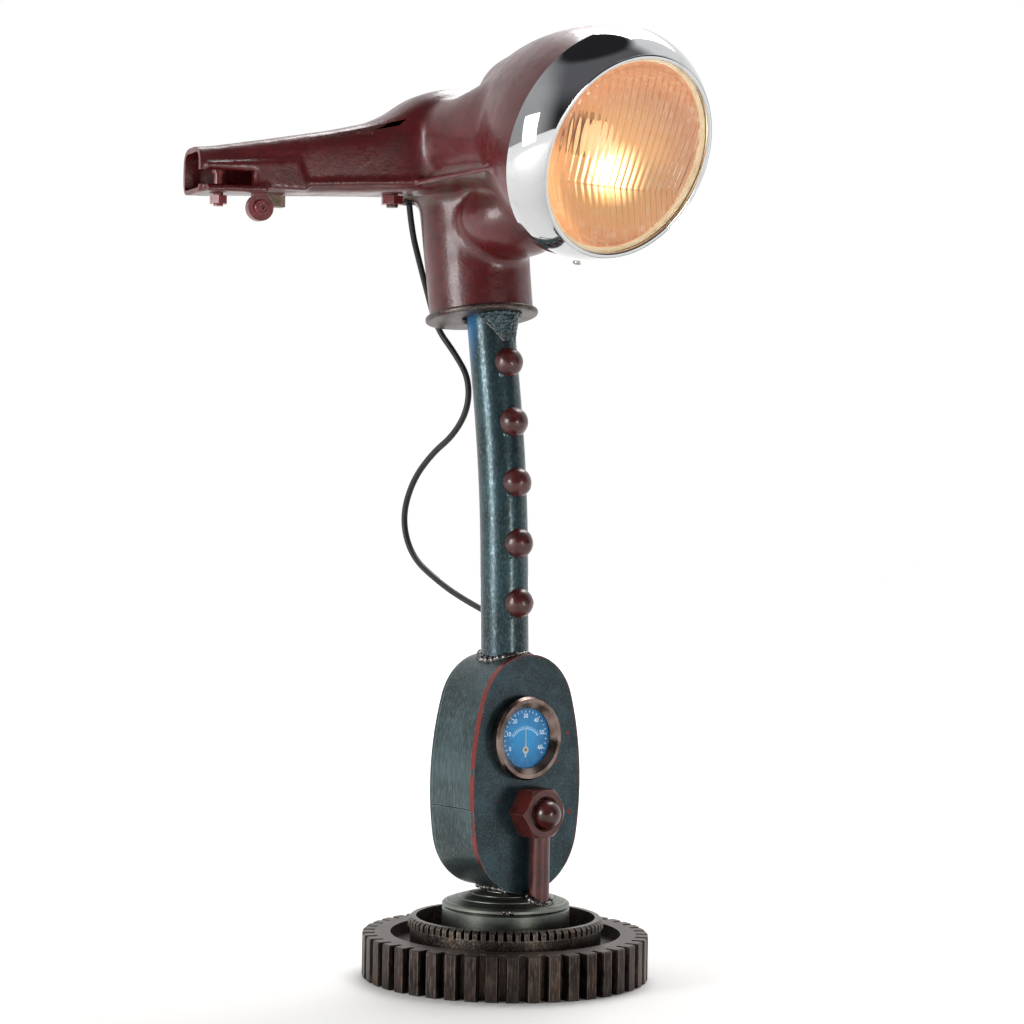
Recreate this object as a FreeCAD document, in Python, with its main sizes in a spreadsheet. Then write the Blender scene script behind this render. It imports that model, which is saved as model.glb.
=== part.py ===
import FreeCAD, Part
import math
import os
import Sketcher
from FreeCAD import Placement, Rotation, Vector

# A table lamp welded up from scrap: a gear for a base, a flat oval drum with a gauge and a push button,
# a bent tube with five domes, and the handlebar casting of a scooter with its headlamp.
# Front is -Y, up is +Z, and the origin is the centre of the gear's underside. Lengths are in mm.

doc = FreeCAD.newDocument("PipeTableLamp")

sizes = {
    # gear base
    "gear_tip_radius": 98,
    "gear_root_radius": 89.5,
    "gear_height": 30,
    "gear_teeth": 44,
    "gap_tip_width": 8.6,
    "gap_root_width": 4.4,
    "gap_past": 2,
    "flank_radius": 18,
    "gear_chamfer": 0.8,
    "recess_radius": 79,
    "recess_depth": 9,
    "plug_radius": 24,
    "plug_fit": 0.1,
    "plug_chamfer": 1,
    "ring_radius": 67,
    "ring_shoulder_radius": 65.5,
    "ring_bore": 61.5,
    "ring_height": 20,
    "ring_teeth": 72,
    "ring_tooth_height": 6.5,
    "ring_gap_width": 3.4,
    "ring_gap_depth": 4,
    "ring_edge": 2,
    "collar_radius": 43.7,
    "collar_wall": 3.5,
    "collar_height": 26.6,
    "collar_edge": 1,
    "cap_lip": 4,
    "cap_spigot_depth": 4,
    "cap_spigot_fit": 0.3,
    "cap_lip_chamfer": 1.3,
    "dome_rise": 8,
    "dome_groove_radius": 0.8,
    "dome_groove_first": 14,
    "dome_groove_pitch": 10,
    "dome_groove_count": 3,
    "weld_lift": 0.4,
    # oval drum
    "drum_gap": 0.3,
    "drum_height": 163,
    "oval_top_radius": 40,
    "oval_bottom_radius": 45,
    "oval_side_radius": 212,
    "plate_front": -21,
    "plate_thickness": 4,
    "band_width": 42.3,
    "band_wall": 3,
    "band_inset": 1.3,
    "seam_height": 59.5,
    "seam_gap": 0.6,
    "back_plate_thickness": 2.5,
    "lug_radius": 5,
    "lug_length": 12,
    "lug_gap": 0.5,
    "screw_radius": 2,
    "screw_head_radius": 4,
    "screw_head_height": 2.4,
    "screw_fit": 0.15,
    "drum_weld": 2,
    "drum_weld_side": 9,
    "drum_weld_inset": 3,
    "drum_weld_short": 8,
    "gland_height": 24,
    "gland_radius": 6,
    "gland_flange": 9,
    "gland_flange_thickness": 2.5,
    "gland_bore": 3,
    "gland_lip": 1.5,
    "gland_lip_thickness": 2,
    "gland_edge": 1,
    "block_width": 26,
    "block_depth": 12,
    "block_height": 14,
    "block_above_gland": 30,
    # gauge
    "gauge_x": -4.5,
    "gauge_height": 106.5,
    "gauge_can_radius": 25.9,
    "gauge_can_fit": 0.3,
    "gauge_can_depth": 30,
    "gauge_can_wall": 0.8,
    "gauge_flange": 1,
    "gauge_flange_fit": 0.3,
    "bezel_radius": 28.5,
    "bezel_depth": 8,
    "bezel_window": 20.5,
    "bezel_slope": 3.6,
    "bezel_slope_width": 4,
    "bezel_round_depth": 2.2,
    "bezel_round_width": 1.4,
    "glass_thickness": 1,
    "bezel_lip": 0.6,
    "bezel_skirt": 1,
    "dial_radius": 26.5,
    "dial_thickness": 1,
    "needle_length": 16.5,
    "needle_tail": 5,
    "needle_width": 1.3,
    "needle_tip": 0.5,
    "needle_thickness": 0.3,
    "needle_gap": 0.25,
    "needle_drop": 8,
    "pivot_radius": 1,
    "pivot_fit": 0.05,
    "pivot_end": 0.1,
    "dial_hole_fit": 0.2,
    "movement_radius": 9,
    "movement_gap": 3,
    "needle_hub": 2.6,
    "clamp_width": 14,
    "clamp_thickness": 2,
    "clamp_gap": 3,
    "stud_radius": 2,
    "stud_spread": 12,
    "stud_end": 2,
    "gauge_nut_radius": 4.5,
    "gauge_nut_thickness": 4,
    # push button in its nut
    "nut_x": 2.5,
    "nut_height": 56,
    "nut_flats": 32,
    "nut_thickness": 16.5,
    "nut_bore": 10.4,
    "nut_chamfer": 1.6,
    "bush_fit": 0.1,
    "bush_reach": 5.5,
    "switch_radius": 14,
    "switch_depth": 22,
    "switch_wall": 2,
    "cavity_radius": 6,
    "ball_radius": 9.5,
    "ball_stand": 1.5,
    "button_stem": 3.5,
    "button_fit": 0.1,
    "button_head": 5.2,
    "button_head_depth": 2,
    "button_travel": 2.5,
    "spring_wall": 1,
    "plate_hole_fit": 0.3,
    # stay rod
    "rod_x": 3.5,
    "rod_radius": 6.75,
    "rod_forward": 10,
    "rod_gap": 0.1,
    "rod_weld": 2.4,
    # stem
    "stem_radius": 16.5,
    "stem_wall": 2.5,
    "stem_foot_y": 5.2,
    "stem_foot_lean": 2,
    "stem_below": 6,
    "stem_bend_height": 342.4,
    "stem_bend_radius": 900,
    "stem_top_run": 112.2,
    "head_lean": 8.9,
    "stem_gap": 0.1,
    "foot_weld": 2.6,
    "top_weld": 2.2,
    "gusset_width": 22,
    "gusset_reach": 8,
    "gusset_low_reach": 0.5,
    "gusset_dome_gap": 1.6,
    "dome_radius": 10.4,
    "dome_drop": 34.55,
    "dome_pitch": 40.8,
    "dome_count": 5,
    "dome_offset": 15,
    "dome_dot_radius": 2,
    "dome_dot_across": 6.6,
    "dome_dot_drop": 8.9,
    "dome_dot_out": 15.3,
    "entry_height": 248,
    "entry_bore": 2.6,
    "entry_radius": 4.4,
    "entry_flange": 6,
    "entry_flange_thickness": 2,
    "entry_gap": 0.35,
    "entry_inside": 1,
    # head
    "disc_offset": 9.2,
    "disc_radius": 39.4,
    "disc_thickness": 4.2,
    "disc_round": 1.8,
    "swivel_gap": 0.3,
    "swivel_fit": 0.08,
    "spigot_height": 24,
    "spigot_wall": 3,
    "spigot_edge": 1,
    "neck_foot_radius": 36.3,
    "neck_top_radius": 37.5,
    "neck_wall": 4,
    "neck_height": 84,
    "body_radius": 50,
    "body_side": 14,
    "body_top": 128,
    "pod_radius": 38,
    "pod_top": 151,
    "shell_wall": 3.5,
    "cover_thickness": 3,
    "cover_fit": 0.3,
    "cover_ledge": 3,
    "cover_edge": 0.6,
    "bowl_radius": 79,
    "bowl_depth": 112,
    "bowl_end_radius": 26,
    "bowl_curve": 210,
    "lamp_pitch": 23.2,
    "lamp_forward": 125.5,
    "lamp_rise": 106.1,
    "arm_back": 11.5,
    "arm_root_depth": 38,
    "arm_root_low": 82,
    "arm_root_top": 148,
    "arm_root_round": 14,
    "arm_shoulder_reach": 60,
    "arm_shoulder_depth": 29,
    "arm_shoulder_low": 79.5,
    "arm_shoulder_top": 137,
    "arm_shoulder_round": 13,
    "arm_middle_reach": 115,
    "arm_middle_depth": 22,
    "arm_middle_low": 77,
    "arm_middle_top": 118,
    "arm_middle_round": 11,
    "arm_end_depth": 18,
    "arm_end_low": 70.5,
    "arm_end_top": 101.5,
    "arm_end_round": 9,
    "arm_sweep": 15,
    "arm_length": 206,
    "arm_wall": 3,
    "set_screw_height": 12,
    "set_screw_radius": 4,
    "set_screw_fit": 0.1,
    "set_screw_edge": 0.5,
    "arm_bolt_reach": 61,
    "arm_bolt_radius": 4,
    "arm_bolt_end": 2,
    "arm_bolt_lift": 1,
    "arm_bolt_head": 4,
    "arm_bolt_head_radius": 6.8,
    "arm_nut_flats": 14,
    "arm_nut_thickness": 6.5,
    "arm_nut_gap": 0.6,
    "exit_reach": 44,
    "exit_angle": 140,
    "exit_radius": 4,
    "exit_flange": 5.5,
    "exit_bore": 2.5,
    "exit_thickness": 2,
    "exit_cut": 12,
    # headlamp
    "rim_back_radius": 80,
    "rim_front_radius": 69.5,
    "rim_depth": 27,
    "rim_curve": 48,
    "rim_wall": 1.4,
    "rim_lip": 3.5,
    "rim_gap": 0.3,
    "lens_radius": 67.6,
    "lens_thickness": 3,
    "lens_dome": 6,
    "lens_step": 1,
    "lamp_gap": 0.1,
    "gasket_thickness": 2,
    "gasket_width": 4,
    "reflector_depth": 46,
    "reflector_wall": 1,
    "reflector_hole": 15.5,
    "holder_radius": 15,
    "holder_depth": 18,
    "holder_flange": 4,
    "holder_flange_thickness": 2,
    "bulb_base_radius": 9,
    "bulb_base_length": 22,
    "bulb_neck": 8,
    "bulb_radius": 13,
    "rim_screw_radius": 2,
    "rim_screw_ahead": 6,
    "rim_screw_length": 6,
    "rim_screw_lift": 0.4,
    "rim_screw_head_radius": 3,
    "rim_screw_head_height": 0.9,
    # lever fittings on the arm ends
    "pivot_reach": 190,
    "pivot_across": 9.5,
    "pivot_bolt_radius": 3.2,
    "pivot_bolt_fit": 0.1,
    "pivot_head_radius": 4.4,
    "pivot_head_height": 2,
    "pivot_nut_flats": 11,
    "pivot_nut_thickness": 5.5,
    "pivot_nut_gap": 1.2,
    "pivot_bolt_end": 1.5,
    "pivot_head_lift": 0.5,
    "window_start": 169,
    "window_sill": 1,
    "window_height": 10,
    "lug_reach": 161,
    "lug_disc_radius": 9,
    "lug_disc_thickness": 6,
    "lug_drop": 9.7,
    "lug_seat": 0.1,
    "lug_screw_head": 5,
    "lug_screw_height": 3,
    "stop_reach": 145,
    "stop_across": 2,
    "stop_length": 10,
    "stop_width": 8,
    "stop_height": 8,
    "stop_gap": 0.5,
    "stop_bore": 2,
    # free lead between the head and the stem
    "lead_diameter": 4.4,
    # how far a cut runs past the stock, and how far a hole starts outside it
    "cut_past": 1,
    "hole_run": 10,
}

sheet = doc.addObject("Spreadsheet::Sheet", "Sizes")
for row, (name, value) in enumerate(sizes.items(), start=1):
    sheet.set(f"A{row}", name)
    sheet.set(f"B{row}", str(value))
    sheet.setAlias(f"B{row}", name)
doc.recompute()


class Size:
    """A size with its value now and the sheet formula that gives it."""

    def __init__(self, value, formula):
        self.value = value
        self.formula = formula

    def __add__(self, other):
        return Size(self.value + number(other), f"({self.formula} + {formula(other)})")

    def __radd__(self, other):
        return self + other

    def __sub__(self, other):
        return Size(self.value - number(other), f"({self.formula} - {formula(other)})")

    def __mul__(self, other):
        return Size(self.value * number(other), f"({self.formula} * {formula(other)})")

    def __truediv__(self, other):
        return Size(self.value / number(other), f"({self.formula} / {formula(other)})")

    def __neg__(self):
        return Size(-self.value, f"(-1 * {self.formula})")


def number(size):
    return size.value if isinstance(size, Size) else float(size)


def formula(size):
    return size.formula if isinstance(size, Size) else repr(float(size))


def root(size):
    return Size(math.sqrt(size.value), f"sqrt({size.formula})")


def cosine(angle):
    return Size(math.cos(math.radians(angle.value)), f"cos({angle.formula} * 1 deg)")


def sine(angle):
    return Size(math.sin(math.radians(angle.value)), f"sin({angle.formula} * 1 deg)")


def tangent(angle):
    return Size(math.tan(math.radians(angle.value)), f"tan({angle.formula} * 1 deg)")


class Driving:
    """The sheet's sizes by name."""

    def __getattr__(self, name):
        return Size(float(sheet.get(name)), f"Sizes.{name}")


d = Driving()
zero = Size(0.0, "0.0")


def bind(thing, prop, size):
    thing.setExpression(prop, formula(size))


def new_body(name):
    body = doc.addObject("PartDesign::Body", name)
    body.Label = name
    return body


def place(thing, x=0, y=0, z=0, axis=Vector(0, 0, 1), angle=0):
    """Puts a piece at x, y, z, turned by angle about axis."""
    thing.Placement = Placement(Vector(number(x), number(y), number(z)), Rotation(axis, number(angle)))
    for letter, size in (("x", x), ("y", y), ("z", z)):
        if isinstance(size, Size):
            bind(thing, f".Placement.Base.{letter}", size)
    if isinstance(angle, Size):
        bind(thing, ".Placement.Rotation.Angle", angle)


def origin_item(body, role):
    return next(item for item in body.Origin.OriginFeatures if item.Role == role)


def new_sketch(body, plane, name, at=(0, 0, 0), axis=Vector(0, 0, 1), angle=0):
    """A sketch on one of the body's origin planes, moved and turned within that plane's own axes."""
    sketch = body.newObject("Sketcher::SketchObject", name)
    sketch.AttachmentSupport = [(origin_item(body, plane), "")]
    sketch.MapMode = "FlatFace"
    move = Vector(number(at[0]), number(at[1]), number(at[2]))
    sketch.AttachmentOffset = Placement(move, Rotation(axis, number(angle)))
    for letter, size in zip("xyz", at):
        if isinstance(size, Size):
            bind(sketch, f".AttachmentOffset.Base.{letter}", size)
    if isinstance(angle, Size):
        bind(sketch, ".AttachmentOffset.Rotation.Angle", angle)
    return sketch


def fix_point(sketch, edge, end, x, y):
    """Holds one end of an edge at x, y from the sketch's origin."""
    for kind, size in (("DistanceX", x), ("DistanceY", y)):
        index = sketch.addConstraint(Sketcher.Constraint(kind, -1, 1, edge, end, number(size)))
        if isinstance(size, Size):
            bind(sketch, f".Constraints[{index}]", size)


def fix_radius(sketch, edge, radius):
    index = sketch.addConstraint(Sketcher.Constraint("Radius", edge, number(radius)))
    if isinstance(radius, Size):
        bind(sketch, f".Constraints[{index}]", radius)


def circle(sketch, x, y, radius):
    centre = Vector(number(x), number(y), 0)
    edge = sketch.addGeometry(Part.Circle(centre, Vector(0, 0, 1), number(radius)))
    fix_point(sketch, edge, 3, x, y)
    fix_radius(sketch, edge, radius)
    return edge


def shallow_arc(start, end, radius, side):
    """The smaller arc between two points, bulging to the left of the way from start to end if side is 1."""
    chord = end.sub(start)
    left = Vector(-chord.y, chord.x, 0).normalize()
    centre = start.add(chord * 0.5).sub(left * (side * math.sqrt(radius ** 2 - (chord.Length / 2) ** 2)))
    first, last = (end, start) if side > 0 else (start, end)
    angles = [math.atan2(point.y - centre.y, point.x - centre.x) for point in (first, last)]
    if angles[1] < angles[0]:
        angles[1] += 2 * math.pi
    return Part.ArcOfCircle(Part.Circle(centre, Vector(0, 0, 1), radius), *angles)


def loop(sketch, corners, closed=True):
    """A closed outline. A corner is (x, y), or (x, y, radius, side) where an arc leads on to the next one."""
    places = [Vector(number(corner[0]), number(corner[1]), 0) for corner in corners]
    edges = []
    starts = []
    last = len(corners) if closed else len(corners) - 1
    for index in range(last):
        corner = corners[index]
        start = places[index]
        end = places[(index + 1) % len(corners)]
        if len(corner) == 2:
            edge = sketch.addGeometry(Part.LineSegment(start, end))
            starts.append((1, 2))
        else:
            edge = sketch.addGeometry(shallow_arc(start, end, number(corner[2]), corner[3]))
            # a sketch arc always runs anticlockwise, so one that bulges to the left starts at its far end
            starts.append((2, 1) if corner[3] > 0 else (1, 2))
            fix_radius(sketch, edge, corner[2])
        fix_point(sketch, edge, starts[-1][0], corner[0], corner[1])
        edges.append(edge)
    for index, edge in enumerate(edges):
        if index + 1 < len(edges) or closed:
            following = (index + 1) % len(edges)
            sketch.addConstraint(
                Sketcher.Constraint("Coincident", edge, starts[index][1], edges[following], starts[following][0])
            )
    if not closed:
        fix_point(sketch, edges[-1], starts[-1][1], corners[-1][0], corners[-1][1])


def rectangle(sketch, left, bottom, right, top):
    loop(sketch, [(left, bottom), (right, bottom), (right, top), (left, top)])


def hexagon(sketch, flats):
    """A hexagon with flats at the top and bottom, about the sketch's origin."""
    half = flats / 2
    across = flats / math.sqrt(3)
    corners = [(across, 0), (across / 2, half), (-(across / 2), half)]
    corners += [(-across, 0), (-(across / 2), -half), (across / 2, -half)]
    loop(sketch, corners)


def rounded_box(sketch, left, bottom, right, top, radius):
    """A rectangle with four equal round corners."""
    x0, y0, x1, y1, r = (number(size) for size in (left, bottom, right, top, radius))
    corners = ((x1 - r, y0 + r, -90), (x1 - r, y1 - r, 0), (x0 + r, y1 - r, 90), (x0 + r, y0 + r, 180))
    sides = (((x0 + r, y0), (x1 - r, y0)), ((x1, y0 + r), (x1, y1 - r)))
    sides += (((x1 - r, y1), (x0 + r, y1)), ((x0, y1 - r), (x0, y0 + r)))
    lines = [sketch.addGeometry(Part.LineSegment(Vector(*a, 0), Vector(*b, 0))) for a, b in sides]
    arcs = []
    for x, y, start in corners:
        ring = Part.Circle(Vector(x, y, 0), Vector(0, 0, 1), r)
        arcs.append(sketch.addGeometry(Part.ArcOfCircle(ring, math.radians(start), math.radians(start + 90))))
    for index in range(4):
        sketch.addConstraint(Sketcher.Constraint("Tangent", lines[index], 2, arcs[index], 1))
        sketch.addConstraint(Sketcher.Constraint("Tangent", arcs[index], 2, lines[(index + 1) % 4], 1))
        kind = "Horizontal" if index % 2 == 0 else "Vertical"
        sketch.addConstraint(Sketcher.Constraint(kind, lines[index]))
    for arc in arcs[1:]:
        sketch.addConstraint(Sketcher.Constraint("Equal", arcs[0], arc))
    fix_radius(sketch, arcs[0], radius)
    for kind, line, size in (
        ("DistanceY", lines[0], bottom),
        ("DistanceX", lines[1], right),
        ("DistanceY", lines[2], top),
        ("DistanceX", lines[3], left),
    ):
        index = sketch.addConstraint(Sketcher.Constraint(kind, -1, 1, line, 1, number(size)))
        bind(sketch, f".Constraints[{index}]", size)


def pad(body, sketch, length, both=False, back=False):
    feature = body.newObject("PartDesign::Pad", f"{body.Name}_pad")
    feature.Profile = sketch
    bind(feature, "Length", length)
    feature.SideType = "Symmetric" if both else "One side"
    feature.Reversed = back
    return feature


def pocket(body, sketch, length=None, both=False, back=False):
    """A cut against the sketch's normal, or along it where back is set, right through without a length."""
    feature = body.newObject("PartDesign::Pocket", f"{body.Name}_pocket")
    feature.Profile = sketch
    feature.SideType = "Symmetric" if both else "One side"
    feature.Reversed = back
    if length is None:
        feature.Type = "ThroughAll"
    else:
        bind(feature, "Length", length)
    return feature


def spin(body, sketch, axis="V_Axis", cut=False):
    """Turns the sketch once round one of its own axes, to add or to cut."""
    kind = "Groove" if cut else "Revolution"
    feature = body.newObject(f"PartDesign::{kind}", f"{body.Name}_{kind.lower()}")
    feature.Profile = sketch
    feature.ReferenceAxis = (sketch, [axis])
    feature.Angle = 360
    return feature


def turned(name, corners):
    """A body turned about its own Z axis. Corners are (radius, height)."""
    body = new_body(name)
    sketch = new_sketch(body, "XZ_Plane", f"{name}_section")
    loop(sketch, corners)
    spin(body, sketch)
    return body


def pattern(body, feature, count):
    """The feature repeated evenly round the body's Z axis."""
    copies = body.newObject("PartDesign::PolarPattern", f"{body.Name}_pattern")
    copies.Originals = [feature]
    copies.Axis = (origin_item(body, "Z_Axis"), [""])
    copies.Angle = 360
    bind(copies, "Occurrences", count)
    body.Tip = copies
    return copies


def solids(name, shapes):
    """A node of one or more separate solids, made directly."""
    feature = doc.addObject("Part::Feature", name)
    feature.Label = name
    feature.Shape = shapes[0] if len(shapes) == 1 else Part.makeCompound(shapes)
    return feature


upright = Vector(0, 0, 1)
sideways = Vector(1, 0, 0)

# Heights and places that several pieces share
floor = d.gear_height - d.recess_depth
collar_top = floor + d.collar_height
cap_edge = d.collar_radius - d.cap_lip_chamfer
cap_top = collar_top + d.cap_lip + d.dome_rise
dome_curve = (cap_edge * cap_edge + d.dome_rise * d.dome_rise) / (d.dome_rise * 2)
drum_bottom = cap_top + d.drum_gap - d.band_inset
plate_back = d.plate_front + d.plate_thickness
cover_face = plate_back + d.band_width
drum_back = cover_face + d.back_plate_thickness
gauge_z = drum_bottom + d.gauge_height
nut_z = drum_bottom + d.nut_height
rod_y = d.plate_front - d.rod_forward
band_top = drum_bottom + d.drum_height - d.band_inset
bend_y = d.stem_foot_y + tangent(d.stem_foot_lean) * (d.stem_bend_height - band_top)
stem_top_y = bend_y + sine(d.head_lean) * d.stem_top_run
stem_top_z = d.stem_bend_height + cosine(d.head_lean) * d.stem_top_run
head_y = stem_top_y + cosine(d.head_lean) * d.disc_offset + sine(d.head_lean) * d.disc_thickness
head_z = stem_top_z - sine(d.head_lean) * d.disc_offset + cosine(d.head_lean) * d.disc_thickness
lamp_y = head_y - d.lamp_forward
lamp_z = head_z + d.lamp_rise
arm_y = head_y + d.arm_back
gusset_height = d.dome_drop / cosine(d.head_lean) - d.dome_radius - d.gusset_dome_gap

# Angle round the cap and radius of each bead on its lip
lip_welds = ((229, 1.8), (235, 2.4), (241, 2))


# Gear base, collar and cap

def make_gear_base():
    bore = d.plug_radius + d.plug_fit
    tip = d.gear_tip_radius
    edge = d.gear_chamfer
    body = turned("gear_base", [
        (bore, 0), (tip - edge, 0), (tip, edge), (tip, d.gear_height - edge), (tip - edge, d.gear_height),
        (d.recess_radius, d.gear_height), (d.recess_radius, floor), (bore, floor),
    ])
    gap = new_sketch(body, "XY_Plane", "tooth_gap")
    past = tip + d.gap_past
    loop(gap, [
        (d.gear_root_radius, -(d.gap_root_width / 2), d.flank_radius, 1), (past, -(d.gap_tip_width / 2)),
        (past, d.gap_tip_width / 2, d.flank_radius, 1), (d.gear_root_radius, d.gap_root_width / 2),
    ])
    pattern(body, pocket(body, gap, back=True), d.gear_teeth)


def make_base_plug():
    edge = d.plug_chamfer
    turned("base_plug", [
        (0, 0), (d.plug_radius, 0), (d.plug_radius, floor - edge), (d.plug_radius - edge, floor), (0, floor),
    ])


def make_dog_tooth_ring():
    top = d.ring_height
    low = top - d.ring_tooth_height
    body = turned("dog_tooth_ring", [
        (d.ring_bore, 0), (d.ring_shoulder_radius, 0), (d.ring_shoulder_radius, low), (d.ring_radius, low),
        (d.ring_radius, top - d.ring_edge), (d.ring_radius - d.ring_edge, top), (d.ring_bore, top),
    ])
    place(body, z=floor)
    gap = new_sketch(body, "XY_Plane", "dog_gap", at=(0, 0, low))
    past = d.ring_radius + d.cut_past
    loop(gap, [
        (d.ring_radius - d.ring_gap_depth, 0), (past, -(d.ring_gap_width / 2)), (past, d.ring_gap_width / 2),
    ])
    pattern(body, pocket(body, gap, back=True), d.ring_teeth)


def make_collar():
    inner = d.collar_radius - d.collar_wall
    body = turned("base_collar", [
        (inner, 0), (d.collar_radius, 0), (d.collar_radius, d.collar_height - d.collar_edge),
        (d.collar_radius - d.collar_edge, d.collar_height), (inner, d.collar_height),
    ])
    place(body, z=floor)


def make_end_cap():
    inner = d.collar_radius - d.collar_wall - d.cap_spigot_fit
    chamfer = d.cap_lip_chamfer
    body = turned("end_cap", [
        (0, -d.cap_spigot_depth), (inner, -d.cap_spigot_depth), (inner, 0), (cap_edge, 0),
        (d.collar_radius, chamfer), (d.collar_radius, d.cap_lip - chamfer), (cap_edge, d.cap_lip, dome_curve, -1),
        (0, d.cap_lip + d.dome_rise),
    ])
    rings = new_sketch(body, "XZ_Plane", "turned_rings")
    for index in range(int(number(d.dome_groove_count))):
        radius = d.dome_groove_first + d.dome_groove_pitch * index
        height = d.cap_lip + d.dome_rise - dome_curve + root(dome_curve * dome_curve - radius * radius)
        circle(rings, radius, height, d.dome_groove_radius)
    spin(body, rings, cut=True)
    place(body, z=collar_top)


def make_base_welds():
    """Beads at the rod's foot, along the drum's foot and on the front of the cap's lip."""
    rod_reach = math.hypot(number(d.rod_x), number(rod_y))
    curve = number(dome_curve)
    drop = curve - math.sqrt(curve ** 2 - rod_reach ** 2)
    foot = Vector(number(d.rod_x), number(rod_y), number(cap_top + d.weld_lift) - drop)
    slope = Vector(foot.x, foot.y, math.sqrt(curve ** 2 - rod_reach ** 2))
    bead = number(d.rod_weld)
    solids("rod_foot_weld", [Part.makeTorus(number(d.rod_radius) + bead / 3, bead, foot, slope)])
    beads = []
    for side in (-1, 1):
        start = Vector(side * number(d.drum_weld_side), number(plate_back + d.drum_weld_inset),
                       number(cap_top + d.weld_lift))
        length = number(d.band_width - d.drum_weld_short)
        beads.append(Part.makeCylinder(number(d.drum_weld), length, start, Vector(0, 1, 0)))
    solids("drum_foot_welds", beads)
    drops = []
    for angle, size in lip_welds:
        turn = math.radians(angle)
        reach = number(d.collar_radius)
        height = number(collar_top) + number(d.cap_lip) * 0.65
        drops.append(Part.makeSphere(size, Vector(reach * math.cos(turn), reach * math.sin(turn), height)))
    solids("cap_lip_welds", drops)


# Oval drum

def oval_sides():
    """How far the side arcs' centres lie past the middle and how high, which makes them tangent to both ends."""
    top_centre = d.drum_height - d.oval_top_radius
    bottom_centre = d.oval_bottom_radius
    apart = top_centre - bottom_centre
    to_top = d.oval_side_radius - d.oval_top_radius
    to_bottom = d.oval_side_radius - d.oval_bottom_radius
    rise = (to_bottom * to_bottom - to_top * to_top + apart * apart) / (apart * 2)
    across = root(to_bottom * to_bottom - rise * rise)
    return across, bottom_centre + rise


def oval(sketch, inset):
    """The drum's outline: a top arc, a bottom arc and two long side arcs, all tangent, moved in by inset."""
    across, side_height = oval_sides()
    to_top = d.oval_side_radius - d.oval_top_radius
    to_bottom = d.oval_side_radius - d.oval_bottom_radius
    top_centre = d.drum_height - d.oval_top_radius
    bottom_centre = d.oval_bottom_radius
    side = d.oval_side_radius - inset
    top_x = across * side / to_top - across
    top_z = side_height + (top_centre - side_height) * side / to_top
    low_x = across * side / to_bottom - across
    low_z = side_height + (bottom_centre - side_height) * side / to_bottom
    loop(sketch, [
        (low_x, low_z, side, -1), (top_x, top_z, d.oval_top_radius - inset, -1),
        (-top_x, top_z, side, -1), (-low_x, low_z, d.oval_bottom_radius - inset, -1),
    ])


def inner_half_width(height):
    """Half the drum's clear width at a height above its bottom."""
    across, side_height = oval_sides()
    side = d.oval_side_radius - d.band_inset - d.band_wall
    level = height - side_height
    return root(side * side - level * level) - across


def lug_places():
    places = []
    for height in (d.oval_bottom_radius, d.drum_height - d.oval_top_radius):
        reach = inner_half_width(height) - d.lug_radius - d.lug_gap
        places += [(reach, height), (-reach, height)]
    return places


def make_front_plate():
    body = new_body("front_plate")
    sketch = new_sketch(body, "XZ_Plane", "plate_outline")
    oval(sketch, zero)
    circle(sketch, d.gauge_x, d.gauge_height, d.gauge_can_radius + d.gauge_can_fit)
    circle(sketch, d.nut_x, d.nut_height, d.nut_bore + d.plate_hole_fit)
    pad(body, sketch, d.plate_thickness)
    place(body, y=plate_back, z=drum_bottom)


def make_bands():
    for name, low, high in (
        ("drum_band_lower", d.seam_height - d.seam_gap / 2, d.drum_height),
        ("drum_band_upper", zero, d.seam_height + d.seam_gap / 2),
    ):
        body = new_body(name)
        ring = new_sketch(body, "XZ_Plane", f"{name}_outline")
        oval(ring, d.band_inset)
        oval(ring, d.band_inset + d.band_wall)
        pad(body, ring, d.band_width, back=True)
        other_half = new_sketch(body, "XZ_Plane", f"{name}_other_half")
        wide = d.oval_side_radius
        rectangle(other_half, -wide, low, wide, high)
        pocket(body, other_half)
        place(body, y=plate_back, z=drum_bottom)


def make_back_cover():
    body = new_body("back_plate")
    sketch = new_sketch(body, "XZ_Plane", "cover_outline")
    oval(sketch, d.band_inset)
    circle(sketch, 0, d.gland_height, d.gland_radius + d.screw_fit)
    for x, height in lug_places():
        circle(sketch, x, height, d.screw_radius + d.screw_fit)
    pad(body, sketch, d.back_plate_thickness, back=True)
    place(body, y=cover_face, z=drum_bottom)

    lugs = new_body("cover_lugs")
    sketch = new_sketch(lugs, "XZ_Plane", "lug_outline")
    for x, height in lug_places():
        circle(sketch, x, height, d.lug_radius)
        circle(sketch, x, height, d.screw_radius + d.screw_fit)
    pad(lugs, sketch, d.lug_length)
    place(lugs, y=cover_face, z=drum_bottom)

    screws = new_body("cover_screws")
    shanks = new_sketch(screws, "XZ_Plane", "screw_shanks")
    heads = new_sketch(screws, "XZ_Plane", "screw_heads")
    for x, height in lug_places():
        circle(shanks, x, height, d.screw_radius)
        circle(heads, x, height, d.screw_head_radius)
    pad(screws, shanks, d.back_plate_thickness + d.lug_length)
    pad(screws, heads, d.screw_head_height, back=True)
    place(screws, y=drum_back, z=drum_bottom)


def make_mains_gland():
    lip = d.gland_radius + d.gland_lip
    inside = -d.back_plate_thickness
    back = inside - d.gland_lip_thickness
    body = turned("mains_gland", [
        (d.gland_bore, back), (lip, back), (lip, inside), (d.gland_radius, inside), (d.gland_radius, 0),
        (d.gland_flange, 0), (d.gland_flange, d.gland_flange_thickness - d.gland_edge),
        (d.gland_flange - d.gland_edge, d.gland_flange_thickness), (d.gland_bore, d.gland_flange_thickness),
    ])
    place(body, y=drum_back, z=drum_bottom + d.gland_height, axis=sideways, angle=-90)


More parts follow.
